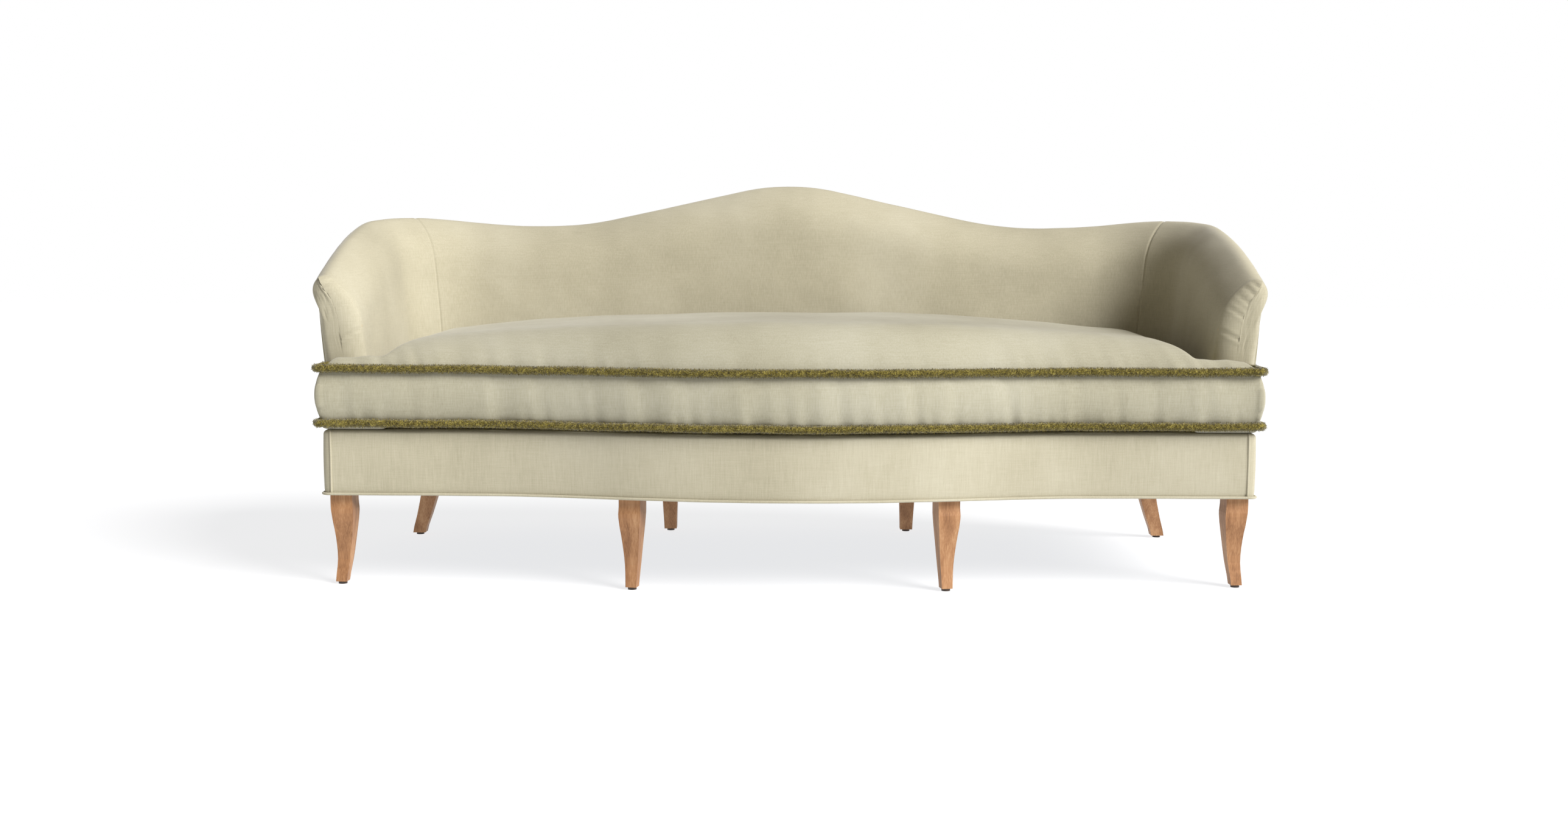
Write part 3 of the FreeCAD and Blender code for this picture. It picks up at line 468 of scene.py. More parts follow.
def plain(name, colours, rough, metal=0.0, scale=90):
    """A slightly mottled surface for pieces that hardly show."""
    material, tree, shader = new_material(name)
    mottle = stretched_noise(tree, object_coords(tree), (scale, scale, scale))
    paint(tree, shader, mottle, colours, reach=0.2, rough=rough, specular=0.5)
    shader.inputs["Metallic"].default_value = metal
    return material


body_linen = linen("body_linen", ((165, 159, 136), (182, 176, 153), (195, 190, 169)), sheen=0.25)
seat_linen = linen("seat_linen", ((156, 151, 129), (173, 169, 148), (187, 184, 166)), sheen=0.3)
MATERIALS = {
    "linen": body_linen,
    "cushion_linen": seat_linen,
    "welt": body_linen,
    "brush_trim": brush("trim_pile", ((52, 44, 8), (98, 87, 27), (160, 147, 72))),
    "leg_oak": oak("leg_oak", ((128, 88, 57), (166, 121, 83), (194, 152, 112)), rough=0.5),
    "frame_wood": oak("frame_wood", ((176, 142, 98), (200, 170, 126), (220, 194, 154)), rough=0.7),
    "glide": plain("glide", ((38, 28, 22), (58, 44, 34)), rough=0.5),
    "steel": plain("steel", ((150, 150, 150), (190, 190, 190)), rough=0.35, metal=1.0),
    "webbing": plain("webbing", ((150, 124, 84), (182, 156, 112)), rough=0.95),
    "dust_cloth": plain("dust_cloth", ((22, 22, 22), (36, 36, 36)), rough=0.95, scale=400),
    "deck_cloth": plain("deck_cloth", ((188, 180, 154), (204, 198, 174)), rough=0.95, scale=300),
    "filling": plain("filling", ((232, 230, 222), (244, 242, 236)), rough=0.95),
    "zip_tape": plain("zip_tape", ((176, 168, 138), (196, 188, 160)), rough=0.9, scale=400),
    "zip_metal": plain("zip_metal", ((150, 146, 134), (184, 180, 168)), rough=0.3, metal=1.0),
}


def dress_frame():
    """Give every piece of the frame the material of its slot."""
    for entry in frame["record"]["subparts"]:
        node = frame["nodes"][entry["node"]]
        node.data.materials.clear()
        node.data.materials.append(MATERIALS[entry["material_slot"]])


def dress(obj, slot, body, nodes=()):
    """Finish slot with its material, body, and the frame pieces that obj stands for."""
    obj.data.materials.clear()
    obj.data.materials.append(MATERIALS[slot])
    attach(obj, body)
    if nodes:
        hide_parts(*nodes)


# Cloth of the back and the arms

FACE_COUNT = 84
BACK_COUNT = 8
COVER = 0.0022
PINCH_DEPTH = 0.0018
PINCH_REACH = 0.004
RIPPLE_LIFT = 0.4
SEAM_STEPS = (0.0015, 0.003, 0.0045, 0.006, 0.009, 0.012)
SEAM_CLEAR = 0.014
BACK_STEP = 0.012
ARM_STEP = 0.010


def along_line(points, count):
    """Points spread evenly along a run of (out, level) pairs, both ends kept."""
    lengths = [0.0]
    for before, after in zip(points, points[1:]):
        lengths.append(lengths[-1] + math.hypot(after[0] - before[0], after[1] - before[1]))
    result = []
    index = 0
    for step in range(count):
        goal = lengths[-1] * step / (count - 1)
        while index < len(points) - 2 and lengths[index + 1] < goal:
            index += 1
        share = (goal - lengths[index]) / (lengths[index + 1] - lengths[index])
        result.append(between(points[index], points[index + 1], share))
    return result


def between(first, last, share):
    """The pair at a share of the way from first to last."""
    return tuple(a + (b - a) * share for a, b in zip(first, last))


def pushed(points, depth):
    """A run of pairs moved out to its left by depth."""
    result = []
    last = len(points) - 1
    for index, here in enumerate(points):
        before = points[max(0, index - 1)]
        after = points[min(last, index + 1)]
        along = (after[0] - before[0], after[1] - before[1])
        length = math.hypot(*along)
        result.append((here[0] - along[1] / length * depth, here[1] + along[0] / length * depth))
    return result


def face_line(station, depth=COVER):
    """The face of the cloth at a station, its points evenly apart."""
    return along_line(pushed(face_profile(station), depth), FACE_COUNT)


def pinch_at(along, seams):
    """How far the cloth is drawn in near the seams: 1 at a seam, 0 away from it."""
    nearest = min(abs(along - seam) for seam in seams)
    return math.exp(-(nearest / PINCH_REACH) ** 2)


def seam_spread(first, last, step):
    """Stations along the wall, closer together near both ends."""
    lead = [first + value for value in SEAM_STEPS]
    tail = [last - value for value in reversed(SEAM_STEPS)]
    even = spread(first, last, int((last - first) / step))
    middle = [along for along in even if min(along - first, last - along) > SEAM_CLEAR]
    return [first] + lead + middle + tail + [last]


def pad_loop(along, pinch):
    """Closed loop of an inside pad, its face drawn in by pinch towards a seam."""
    station = Station(along)
    face = face_line(station, COVER - PINCH_DEPTH * pinch)
    loop = []
    for out, level in face:
        point = station.place(out, level)
        push = ripple(point, scale=7.0, height=0.0028) + ripple(point, scale=22.0, height=0.0008)
        loop.append(point - station.way * push + UP * (RIPPLE_LIFT * push))
    board = -BOARD_IN - GAP
    corners = [face[-1], (board, station.under()[1]), (board, DECK_TOP + GAP)]
    loop += [station.place(out, level) for out, level in along_line(corners, BACK_COUNT)[1:]]
    return loop


WRAP_DEPTH = 0.022
WRAP_REACH = 0.045
WRAP_BULGE = 0.003
WRAP_START = PATH_END - WRAP_DEPTH
WRAP_APPROACH = 0.004
WRAP_OUT = 0.0035
WRAP_TURN = 0.040
WRAP_SPLIT = 0.86
WRAP_RINGS = (0.0, 0.012, 0.03, 0.06, 0.10, 0.15, 0.21, 0.28, 0.36, 0.44, 0.52, 0.60, 0.68, 0.76,
              0.84, 0.92, 0.98, 1.0)
MIDDLE_COUNT = 60
PLEAT_GROWTH = 6
RIPPLE_GROWTH = 8
PLEAT_DEPTH = 0.0024
PLEAT_WIDTH = 0.0028
PLEAT_END = 0.008
RIDGE_HEIGHT = 0.0010
RIDGE_AWAY = 0.007
RIDGE_WIDTH = 0.005

# Ends of each pleat as (distance from the middle of the sofa, level)
PLEATS = {
    "right": [((1.055, 0.700), (1.086, 0.668)), ((1.020, 0.672), (1.066, 0.632)),
              ((0.982, 0.588), (1.046, 0.556)), ((1.038, 0.690), (1.078, 0.650)),
              ((1.004, 0.640), (1.054, 0.604))],
    "left": [((1.030, 0.556), (0.970, 0.590)), ((1.078, 0.650), (1.034, 0.674)),
             ((1.080, 0.676), (1.046, 0.690)), ((1.060, 0.616), (1.012, 0.642)),
             ((1.086, 0.664), (1.058, 0.686))],
}


def pleat_depth(x, level, side_name):
    """Depth of the gathered pleats at a place on the arm front, seen from ahead."""
    depth = 0.0
    for first, last in PLEATS[side_name]:
        run = (last[0] - first[0], last[1] - first[1])
        length = math.hypot(*run)
        along = ((x - first[0]) * run[0] + (level - first[1]) * run[1]) / length
        across = ((x - first[0]) * run[1] - (level - first[1]) * run[0]) / length
        over = max(0.0, -along, along - length)
        fade = math.exp(-(over / PLEAT_END) ** 2)
        depth += PLEAT_DEPTH * fade * math.exp(-(across / PLEAT_WIDTH) ** 2)
        depth -= RIDGE_HEIGHT * fade * math.exp(-((abs(across) - RIDGE_AWAY) / RIDGE_WIDTH) ** 2)
    return depth


def closing_goals(rim, split):
    """For each point of the rim, its place on the middle line between the inner and the outer run."""
    inner = along_line(rim[:split], MIDDLE_COUNT)
    outer = along_line(list(reversed(rim[split - 1:])), MIDDLE_COUNT)
    middle = [((a[0] + b[0]) / 2, (a[1] + b[1]) / 2) for a, b in zip(inner, outer)]
    count = len(rim)
    goals = []
    for index in range(count):
        if index < split:
            share = index / (split - 1)
        else:
            share = (count - 1 - index) / (count - split)
        place = share * (MIDDLE_COUNT - 1)
        low = min(int(place), MIDDLE_COUNT - 2)
        goals.append(between(middle[low], middle[low + 1], place - low))
    return goals


def front_wrap(side_name, side):
    """Loops that carry the cloth of the arm round its front and close it on a middle line."""
    station = Station(side * WRAP_START)
    face = face_line(station)
    corners = [face[-1], (WRAP_OUT, DECK_TOP + WRAP_TURN), (WRAP_OUT, DECK_TOP + GAP)]
    rim = face + along_line(corners, BACK_COUNT)[1:]
    goals = closing_goals(rim, int(FACE_COUNT * WRAP_SPLIT))
    loops = []
    for share in WRAP_RINGS:
        loop = []
        for start, goal in zip(rim, goals):
            point = station.place(*between(start, goal, share))
            reach = math.hypot(goal[0] - start[0], goal[1] - start[1]) * share
            left = 1 - min(1.0, reach / WRAP_REACH)
            ahead = WRAP_DEPTH * math.sqrt(1 - left ** 2) + WRAP_BULGE * (1 - (1 - share) ** 2)
            dent = pleat_depth(abs(point.x), point.z, side_name) * min(1.0, share * PLEAT_GROWTH)
            dent += ripple(point, scale=16.0, height=0.0012) * min(1.0, share * RIPPLE_GROWTH)
            loop.append(point + Vector((0, dent - ahead, 0)))
        loops.append(loop)
    return loops


def build_wall():
    """Inside cloth of the back, and of each arm with the wrap round its front."""
    seams = (-SEAM_AT, SEAM_AT)
    stations = seam_spread(-SEAM_AT, SEAM_AT, BACK_STEP)
    loops = [pad_loop(along, pinch_at(along, seams)) for along in stations]
    back = loft_object("inside_back_linen", loops)
    sharpen(back, angle=60)
    dress(back, "linen", "sofa", ["inside_back"])
    stations = seam_spread(SEAM_AT, WRAP_START - WRAP_APPROACH, ARM_STEP)
    for side, side_name in SIDES:
        loops = [pad_loop(side * along, pinch_at(along, (SEAM_AT,))) for along in stations]
        loops += front_wrap(side_name, side)
        arm = loft_object("inside_arm_linen_" + side_name, loops, cap_last=False)
        sharpen(arm, angle=75)
        dress(arm, "linen", "sofa", ["inside_arm_" + side_name, "arm_front_" + side_name])


PANEL_BACK_STEP = 0.020
PANEL_ARM_STEP = 0.014
PANEL_STEPS = 16
PANEL_SWELL = 0.004
PANEL_OUT = 0.0032
PANEL_PINCH = 0.002
PANEL_RISE = 0.004


def panel_loop(along, pinch):
    """Closed loop of an outside panel."""
    station = Station(along)
    out, level = station.under()
    foot = APRON_TOP + GAP
    top = level + PANEL_RISE
    loop = [station.place(-BOARD_OUT + GAP, foot)]
    for share in spread(0.0, 1.0, PANEL_STEPS + 1):
        swell = PANEL_SWELL * math.sin(math.pi * share) + PANEL_OUT - PANEL_PINCH * pinch
        point = station.place(out * share + swell, foot + (top - foot) * share)
        loop.append(point + station.way * ripple(point, scale=6.0, height=0.002))
    loop.append(station.place(-BOARD_OUT + GAP, top))
    return loop


def build_panels():
    """Outside cloth of the back and of each arm."""
    seams = (-SEAM_AT, SEAM_AT)
    stations = seam_spread(-SEAM_AT, SEAM_AT, PANEL_BACK_STEP)
    loops = [panel_loop(along, pinch_at(along, seams)) for along in stations]
    back = loft_object("outside_back_linen", loops)
    sharpen(back, angle=50)
    dress(back, "linen", "sofa", ["outside_back"])
    seams = (SEAM_AT, WRAP_START)
    stations = seam_spread(SEAM_AT, WRAP_START, PANEL_ARM_STEP)
    for side, side_name in SIDES:
        loops = [panel_loop(side * along, pinch_at(along, seams)) for along in stations]
        panel = loft_object("outside_arm_linen_" + side_name, loops)
        sharpen(panel, angle=50)
        dress(panel, "linen", "sofa", ["outside_arm_" + side_name])


# Base covers and their welts

APRON_ROWS = (0.0, 0.04, 0.1, 0.2, 0.35, 0.5, 0.65, 0.8, 0.9, 1.0)
APRON_ROUNDING = 0.010
APRON_SWELL = 0.0015
HEM_SHARE = 0.05
HEM_TUCK = 0.001
SLOPE_STEP = 0.001


def base_point(along):
    """Point and way out on the base line, measured from the middle of the back round to the front."""
    side = -1.0 if along < 0 else 1.0
    path = abs(along)
    if path <= TURN_START:
        station = Station(path)
        point, way = station.point, station.way
    elif path <= TURN_END:
        turn = (path - TURN_START) / FRONT_CORNER
        way = Vector((math.cos(turn), -math.sin(turn), 0))
        point = Vector((HALF_WIDTH - FRONT_CORNER, CORNER_Y + FRONT_CORNER, 0)) + way * FRONT_CORNER
    else:
        x = HALF_WIDTH - FRONT_CORNER - (path - TURN_END)
        slope = (front_y(x + SLOPE_STEP) - front_y(x - SLOPE_STEP)) / (2 * SLOPE_STEP)
        way = Vector((slope, -1, 0)).normalized()
        point = Vector((x, front_y(x), 0))
    return Vector((side * point.x, point.y, 0)), Vector((side * way.x, way.y, 0))


def apron_loop(along):
    """Closed loop of a base cover: its face, rounded top edge and flat back."""
    point, way = base_point(along)
    top = APRON_TOP - APRON_ROUNDING
    loop = []
    for share in APRON_ROWS:
        place = point + UP * (BASE_BOTTOM + (top - BASE_BOTTOM) * share)
        swell = APRON_SWELL * math.sin(math.pi * share) + ripple(place, scale=5.0, height=0.0012)
        if share < HEM_SHARE:
            swell -= HEM_TUCK
        loop.append(place + way * swell)
    for angle in range(15, 91, 15):
        turn = math.radians(angle)
        depth = APRON_ROUNDING * (1 - math.cos(turn))
        loop.append(point - way * depth + UP * (top + APRON_ROUNDING * math.sin(turn)))
    for level in (APRON_TOP, BASE_BOTTOM):
        loop.append(point - way * (APRON_ROUNDING + GAP) + UP * level)
    return loop


def build_aprons():
    """Base covers: the front one runs from corner welt to corner welt, the others from seam to seam."""
    front = [apron_loop(along) for along in spread(WELT_AT, BASE_HALF, count=110)]
    front += [apron_loop(-along) for along in spread(BASE_HALF, WELT_AT, count=110)[1:]]
    side_run = spread(SEAM_AT, WELT_AT, count=70)
    covers = {"front": front,
              "back": [apron_loop(along) for along in spread(-SEAM_AT, SEAM_AT, count=120)],
              "right": [apron_loop(along) for along in side_run],
              "left": [apron_loop(-along) for along in side_run]}
    for name, loops in covers.items():
        cover = loft_object("apron_linen_" + name, loops)
        sharpen(cover, angle=50)
        dress(cover, "linen", "sofa", ["apron_" + name])


WELT_RADIUS = 0.0031
WELT_OUT = 0.0032
WELT_LEVEL = BASE_BOTTOM + 0.003
CORNER_WELT_RADIUS = 0.0024
CORNER_WELT_OUT = 0.0008
CORNER_WELT_LOW = BASE_BOTTOM + 0.004
CORNER_WELT_HIGH = APRON_TOP - 0.006
CORNER_WELT_TUCK = 0.004
CORNER_WELT_END = APRON_TOP - 0.0005


def build_welts():
    """Cord round the bottom edge of the base, and one up each front corner."""
    points = []
    for along in spread(0.0, BASE_HALF, count=420):
        point, way = base_point(along)
        level = WELT_LEVEL + ripple(point, scale=9.0, height=0.0006)
        points.append(point + way * WELT_OUT + UP * level)
    points += [mirrored(point) for point in reversed(points[1:-1])]
    welt = tube("base_welt_cord", points, WELT_RADIUS, sides=12, closed=True)
    dress(welt, "welt", "sofa", ["base_welt"])
    for side, side_name in SIDES:
        point, way = base_point(side * WELT_AT)
        upright = [point + way * CORNER_WELT_OUT + UP * level
                   for level in spread(CORNER_WELT_LOW, CORNER_WELT_HIGH, count=24)]
        upright.append(point - way * CORNER_WELT_TUCK + UP * CORNER_WELT_END)
        cord = tube("corner_welt_" + side_name, upright, CORNER_WELT_RADIUS, sides=10, closed=False)
        dress(cord, "welt", "sofa")


# Seat cushion

FILL_HALF = 0.9
FILL_DROP = 0.050
FILL_TAPER = 2.2
FILL_REACH = 0.12
FILL_SHOULDER = 2.6
FRONT_BULGE = 0.012
REAR_BULGE = 0.011
EAR_BULGE = 0.013
EAR_OVERLAP = 0.030
SOLE_SLOPE = 12
SEAM_MARGIN = 0.004
LIFT_MARGIN = 0.006
VOXEL = 0.005

# Gathers in the boxing and puckers on the top, as depths and as lengths over which they fade
LOW_GATHER = 0.0066
LOW_FADE = 0.032
HIGH_GATHER = 0.0026
HIGH_FADE = 0.022
LONG_FOLD = 0.0036
GATHER_LEAN = 0.12
PATCH_LEAST = 0.45
PUCKER = 0.0012
PUCKER_FADE = 0.018
PUCKER_LEAN = 0.5
EAR_START = 0.85
EAR_PUCKER = 0.0030
EAR_PUCKER_FADE = 0.022
FINER = 2.1
FOLD_GAIN = 1.6

# Which way a face of the cushion looks, by its normal
SIDEWAYS = 0.7
UPRIGHT = 0.6
UPWARD = 0.4
SIDE_RUN_START = 5.0


def lift_at(x, gap):
    """Height of the filling above the top seam, at a distance gap inside the outline."""
    full = CROWN - FILL_DROP * (abs(x) / FILL_HALF) ** FILL_TAPER
    inward = min(1.0, max(0.0, gap) / FILL_REACH)
    return full * (1 - (1 - inward) ** FILL_SHOULDER)


def front_seam(x):
    """Y of the front seam line at X."""
    return front_y(x) - OVERHANG + SEAM_INSET


def rear_at(x):
    """Y of the back seam line at X, round at both corners."""
    bend = CUSHION_CORNER - SEAM_INSET
    over = min(max(0.0, abs(x) - (NECK_X - CUSHION_CORNER)), bend)
    return REAR_Y - CUSHION_CORNER + math.sqrt(max(0.0, bend ** 2 - over ** 2))


def outline_gap(x, y):
    """Distance from the seam line of the cushion, inside it."""
    front = y - front_seam(x)
    side = EAR_X - SEAM_INSET - abs(x)
    neck = NECK_X - SEAM_INSET - abs(x)
    if y < EAR_Y - SEAM_INSET:
        return min(front, side, max(EAR_Y - SEAM_INSET - y, neck))
    return min(front, neck, rear_at(x) - y)


def cushion_ring(x, back):
    """Closed loop round the cushion at X: front boxing, top, back boxing and sole."""
    front = front_seam(x)
    depth = back - front
    ring = []
    for share in spread(0.0, 1.0, count=15):
        bulge = FRONT_BULGE * math.sin(math.pi * share)
        ring.append(Vector((x, front - bulge, LOW_SEAM + BOXING_HEIGHT * share)))
    for share in spread(0.0, 1.0, count=61)[1:-1]:
        ring.append(Vector((x, front + depth * share, HIGH_SEAM)))
    for share in spread(0.0, 1.0, count=15):
        bulge = REAR_BULGE * math.sin(math.pi * share)
        ring.append(Vector((x, back + bulge, HIGH_SEAM - BOXING_HEIGHT * share)))
    for share in spread(0.0, 1.0, count=21)[1:-1]:
        drop = (SEAM_RISE - GAP) * min(1.0, SOLE_SLOPE * share, SOLE_SLOPE * (1 - share))
        ring.append(Vector((x, back - depth * share, LOW_SEAM - drop)))
    return ring


def folds(place, scale, seed):
    """Uneven run of gathers, from -1 to 1: broad ones, and finer ones half as deep."""
    broad = noise.noise(Vector((place * scale, seed, 0.3)))
    fine = noise.noise(Vector((place * scale * FINER, seed, 4.7)))
    return max(-1.0, min(1.0, FOLD_GAIN * (broad + 0.5 * fine)))


def boxing_push(place, normal, run):
    """How far the boxing stands out in its gathers, which are deepest along its seams."""
    height = place.z - LOW_SEAM
    near_low = math.exp(-max(0.0, height) / LOW_FADE)
    near_high = math.exp(-max(0.0, BOXING_HEIGHT - height) / HIGH_FADE)
    patch = PATCH_LEAST + (1 - PATCH_LEAST) * max(0.0, folds(run, scale=2.6, seed=9.1))
    lean = run + GATHER_LEAN * height
    push = LOW_GATHER * near_low * patch * folds(lean, scale=26, seed=1.0)
    push += HIGH_GATHER * near_high * patch * folds(lean, scale=42, seed=2.0)
    push += LONG_FOLD * patch * folds(lean, scale=14, seed=3.0)
    if abs(normal.x) > SIDEWAYS and abs(place.x) > NECK_X:
        push += EAR_BULGE * math.sin(math.pi * max(0.0, min(1.0, height / BOXING_HEIGHT)))
    return push


def top_push(place, run, gap):
    """Puckers that fade away from the top seam, and the unevenness of a down wrap."""
    near = max(0.0, gap)
    ends = min(1.0, (abs(place.x) / EAR_START) ** 2)
    fade = math.exp(-near / (PUCKER_FADE + EAR_PUCKER_FADE * ends))
    puckers = (PUCKER + EAR_PUCKER * ends) * fade * folds(run + PUCKER_LEAN * near, scale=30, seed=5.0)
    return puckers + ripple(place, scale=3.4, height=0.0035) + ripple(place, scale=11.0, height=0.0013)


def soften_cushion(obj):
    """Raise the filling, gather the cloth along both seams and make it gently uneven."""
    mesh = obj.data
    moves = []
    for vertex in mesh.vertices:
        place, normal = vertex.co, vertex.normal
        run = place.x if abs(normal.x) < SIDEWAYS else place.y + SIDE_RUN_START
        gap = outline_gap(place.x, place.y)
        push = 0.0
        between_seams = LOW_SEAM - SEAM_MARGIN < place.z < HIGH_SEAM + SEAM_MARGIN
        if between_seams and abs(normal.z) < UPRIGHT:
            push = boxing_push(place, normal, run)
        elif place.z >= HIGH_SEAM - SEAM_MARGIN:
            push = top_push(place, run, gap)
        raised = normal.z > UPWARD and place.z > HIGH_SEAM - LIFT_MARGIN
        lift = lift_at(place.x, gap) if raised else 0.0
        moves.append(normal * push + UP * lift)
    for vertex, move in zip(mesh.vertices, moves):
        vertex.co = vertex.co + move
    mesh.update()
    relax(obj, rounds=2)


def join_closed(name, forms, voxel):
    """One closed skin round several overlapping forms."""
    bpy.ops.object.select_all(action="DESELECT")
    for form in forms:
        form.select_set(True)
    whole = forms[0]
    bpy.context.view_layer.objects.active = whole
    bpy.ops.object.join()
    whole.name = name
    skin = whole.modifiers.new("skin", "REMESH")
    skin.mode = "VOXEL"
    skin.voxel_size = voxel
    skin.use_smooth_shade = True
    bpy.ops.object.modifier_apply(modifier=skin.name)
    relax(whole, rounds=4)
    return whole


def build_cushion():
    """The T-shaped cushion: a long middle joined to an ear in front of each arm."""
    neck = NECK_X - SEAM_INSET
    middle = [cushion_ring(x, rear_at(x)) for x in spread(-neck, neck, count=200)]
    forms = [loft_object("cushion_middle", middle)]
    ear_run = spread(neck - EAR_OVERLAP, EAR_X - SEAM_INSET, count=24)
    for side, _ in SIDES:
        ear = [cushion_ring(side * x, EAR_Y - SEAM_INSET) for x in ear_run]
        forms.append(loft_object("cushion_ear", ear))
    cushion = join_closed("seat_cushion_linen", forms, VOXEL)
    soften_cushion(cushion)
    dress(cushion, "cushion_linen", "seat_cushion", ["cushion_cover", "cushion_insert"])


# Brush trims

TRIM_TURN = 0.012
TRIM_WAVE = 0.0022
TRIM_WAVE_SCALE = 6.0
CORE_RADIUS = TRIM_RADIUS - 0.0006
CORE_LOW = -0.0008
CORE_HIGH = 0.0012
PILE_SHARE = 0.9
PILE_SHORT = 0.0018
PILE_LONG = 0.0042
PILE_LEAN = 0.45
PILE_TWIST = 0.3
PILE_HALF_WIDTH = 0.0007


def arc(centre_x, centre_y, radius, angles):
    """Points round a centre, at angles in degrees from +X."""
    points = []
    for angle in angles:
        turn = math.radians(angle)
        points.append(Vector((centre_x + radius * math.cos(turn), centre_y + radius * math.sin(turn), 0)))
    return points


def trim_path(level, seed):
    """Middle line of a brush trim round the T-shaped edge."""
    side = EAR_X - TRIM_RADIUS
    neck = NECK_X - TRIM_RADIUS
    ear = EAR_Y - TRIM_RADIUS
    rear = REAR_Y - TRIM_RADIUS
    bend = CUSHION_CORNER - TRIM_RADIUS
    front_run = spread(0.0, side - TRIM_TURN, count=500)
    front = [Vector((x, front_y(x) - OVERHANG + TRIM_RADIUS, 0)) for x in front_run]
    half = front[1:]
    half += arc(side - TRIM_TURN, CORNER_Y - OVERHANG + TRIM_RADIUS + TRIM_TURN, TRIM_TURN, range(-75, 1, 15))
    half += arc(side - TRIM_TURN, ear - TRIM_TURN, TRIM_TURN, range(0, 91, 15))
    half += [Vector((x, ear, 0)) for x in spread(side - TRIM_TURN, neck, count=40)[1:]]
    half += [Vector((neck, y, 0)) for y in spread(ear, REAR_Y - CUSHION_CORNER, count=200)[1:]]
    half += arc(neck - bend, rear - bend, bend, range(2, 91, 2))
    half += [Vector((x, rear, 0)) for x in spread(neck - bend, 0.0, count=300)[1:-1]]
    path = []
    for point in [front[0]] + half + [mirrored(point) for point in reversed(half)]:
        wave = TRIM_WAVE * noise.noise(Vector((point.x * TRIM_WAVE_SCALE, point.y * TRIM_WAVE_SCALE, seed)))
        path.append(point + Vector((0, wave * 0.5, level + wave)))
    return path


def build_trims():
    """Olive brush trims: a cord set all over with short blades that lean at random."""
    for trim_name, level, seed in (("top", HIGH_SEAM, 1.3), ("bottom", LOW_SEAM, 7.9)):
        chooser = random.Random(int(seed * 10))
        core = tube("brush_trim_" + trim_name, trim_path(level, seed), CORE_RADIUS, sides=20, closed=True)
        normals = [vertex.normal.copy() for vertex in core.data.vertices]
        verts = [vertex.co + normal * chooser.uniform(CORE_LOW, CORE_HIGH)
                 for vertex, normal in zip(core.data.vertices, normals)]
        faces = [tuple(face.vertices) for face in core.data.polygons]
        for index, out in enumerate(normals):
            if chooser.random() > PILE_SHARE:
                continue
            root = verts[index]
            lean = Vector((chooser.uniform(-1, 1), chooser.uniform(-1, 1), chooser.uniform(-1, 1)))
            blade = (out + lean * PILE_LEAN).normalized()
            tip = root + blade * chooser.uniform(PILE_SHORT, PILE_LONG)
            twist = Vector((chooser.uniform(-1, 1), chooser.uniform(-1, 1), PILE_TWIST))
            across = out.cross(twist).normalized()
            first = len(verts)
            verts += [root - across * PILE_HALF_WIDTH, root + across * PILE_HALF_WIDTH, tip]
            faces.append((first, first + 1, first + 2))
        bpy.data.objects.remove(core)
        trim = make_object("brush_trim_" + trim_name, verts, faces)
        dress(trim, "brush_trim", "seat_cushion", ["cushion_%s_trim" % trim_name])


def smooth_legs():
    """Smooth the bowed faces of the legs and keep their long edges crisp."""
    for name, node in frame["nodes"].items():
        if name.startswith(("front_leg", "rear_leg")):
            for face in node.data.polygons:
                face.use_smooth = True
            sharpen(node, angle=35)


# Camera, light and floor

PHOTO_WIDTH = 2576
FOCAL_PIXELS = 2932
SENSOR_WIDTH = 36.0
CAMERA_PLACE = (-0.013, -4.35, 0.82)
CAMERA_TILT = 6.2
CAMERA_ROLL = 0.25
KEY_WAY = (0.72, -0.48, 0.62)
KEY_STRENGTH = 4.7
KEY_ANGLE = 34
KEY_COLOUR = (1.0, 0.985, 0.975)
FLOOR_LEFT, FLOOR_RIGHT, FLOOR_NEAR, FLOOR_FAR = -14, 14, -9, 14
FLOOR_COLOUR = (0.32, 0.32, 0.32, 1)
FLOOR_GLOW = (0.97, 0.98, 1.0, 1)
FLOOR_GLOW_STRENGTH = 0.80
FILL_COLOUR = (1.0, 0.90, 0.76, 1)
FILL_STRENGTH = 0.18


def build_camera():
    """The photograph's viewpoint, looking slightly down."""
    data = bpy.data.cameras.new("photo_camera")
    data.sensor_width = SENSOR_WIDTH
    data.lens = FOCAL_PIXELS / PHOTO_WIDTH * SENSOR_WIDTH
    camera = bpy.data.objects.new("photo_camera", data)
    bpy.context.scene.collection.objects.link(camera)
    tilt = Matrix.Rotation(math.radians(90 - CAMERA_TILT), 4, "X")
    roll = Matrix.Rotation(math.radians(CAMERA_ROLL), 4, "Z")
    camera.matrix_world = Matrix.Translation(CAMERA_PLACE) @ tilt @ roll
    bpy.context.scene.camera = camera


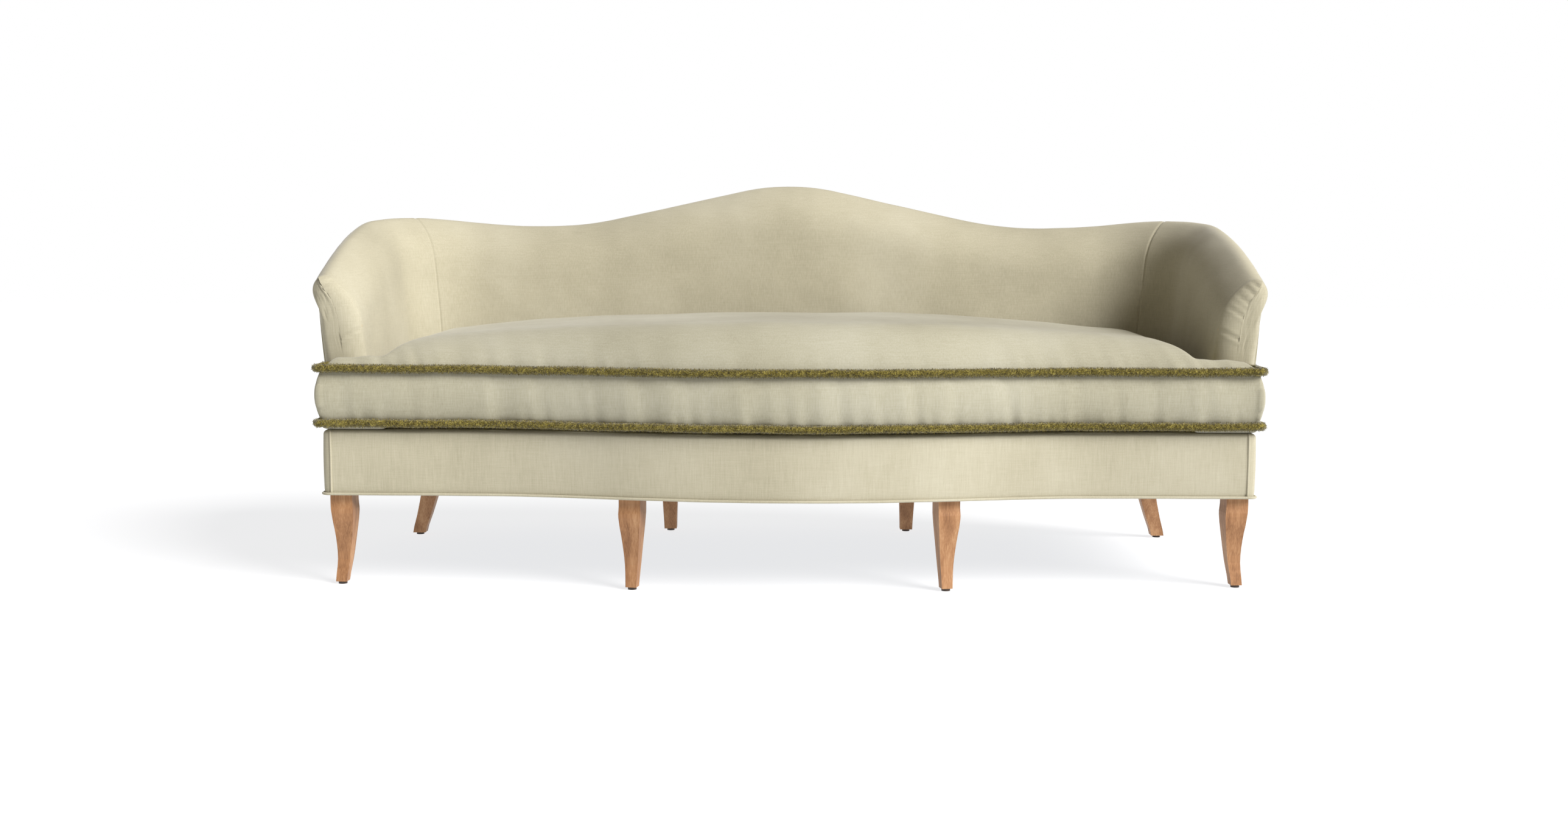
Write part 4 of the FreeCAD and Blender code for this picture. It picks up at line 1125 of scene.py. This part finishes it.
def build_key_light():
    """A broad soft light from the front right."""
    data = bpy.data.lights.new("key", "SUN")
    data.energy = KEY_STRENGTH
    data.angle = math.radians(KEY_ANGLE)
    data.color = KEY_COLOUR
    light = bpy.data.objects.new("key", data)
    bpy.context.scene.collection.objects.link(light)
    light.rotation_euler = Vector(KEY_WAY).to_track_quat("Z", "Y").to_euler()


def build_floor():
    """A plain pale floor that melts into the background."""
    corners = [(FLOOR_LEFT, FLOOR_NEAR, 0), (FLOOR_RIGHT, FLOOR_NEAR, 0),
               (FLOOR_RIGHT, FLOOR_FAR, 0), (FLOOR_LEFT, FLOOR_FAR, 0)]
    floor = make_object("floor", corners, [(0, 1, 2, 3)], smooth=False)
    material, _, shader = new_material("pale_floor")
    shader.inputs["Base Color"].default_value = FLOOR_COLOUR
    shader.inputs["Roughness"].default_value = 0.95
    shader.inputs["Specular IOR Level"].default_value = 0.0
    shader.inputs["Emission Color"].default_value = FLOOR_GLOW
    shader.inputs["Emission Strength"].default_value = FLOOR_GLOW_STRENGTH
    floor.data.materials.append(material)


def build_world():
    """White background, and a weaker warm fill on everything it lights."""
    world = bpy.data.worlds.new("studio")
    bpy.context.scene.world = world
    world.use_nodes = True
    tree = world.node_tree
    fill = tree.nodes["Background"]
    fill.inputs["Color"].default_value = FILL_COLOUR
    fill.inputs["Strength"].default_value = FILL_STRENGTH
    white = tree.nodes.new("ShaderNodeBackground")
    white.inputs["Color"].default_value = (1, 1, 1, 1)
    rays = tree.nodes.new("ShaderNodeLightPath")
    seen = math_node(tree, "MAXIMUM", rays.outputs["Is Camera Ray"], rays.outputs["Is Glossy Ray"])
    choose = tree.nodes.new("ShaderNodeMixShader")
    tree.links.new(seen, choose.inputs[0])
    tree.links.new(fill.outputs[0], choose.inputs[1])
    tree.links.new(white.outputs[0], choose.inputs[2])
    tree.links.new(choose.outputs[0], tree.nodes["World Output"].inputs["Surface"])


dress_frame()
build_wall()
build_panels()
build_aprons()
build_welts()
build_cushion()
build_trims()
smooth_legs()
build_camera()
build_key_light()
build_floor()
build_world()
bpy.context.scene.view_settings.view_transform = "Standard"
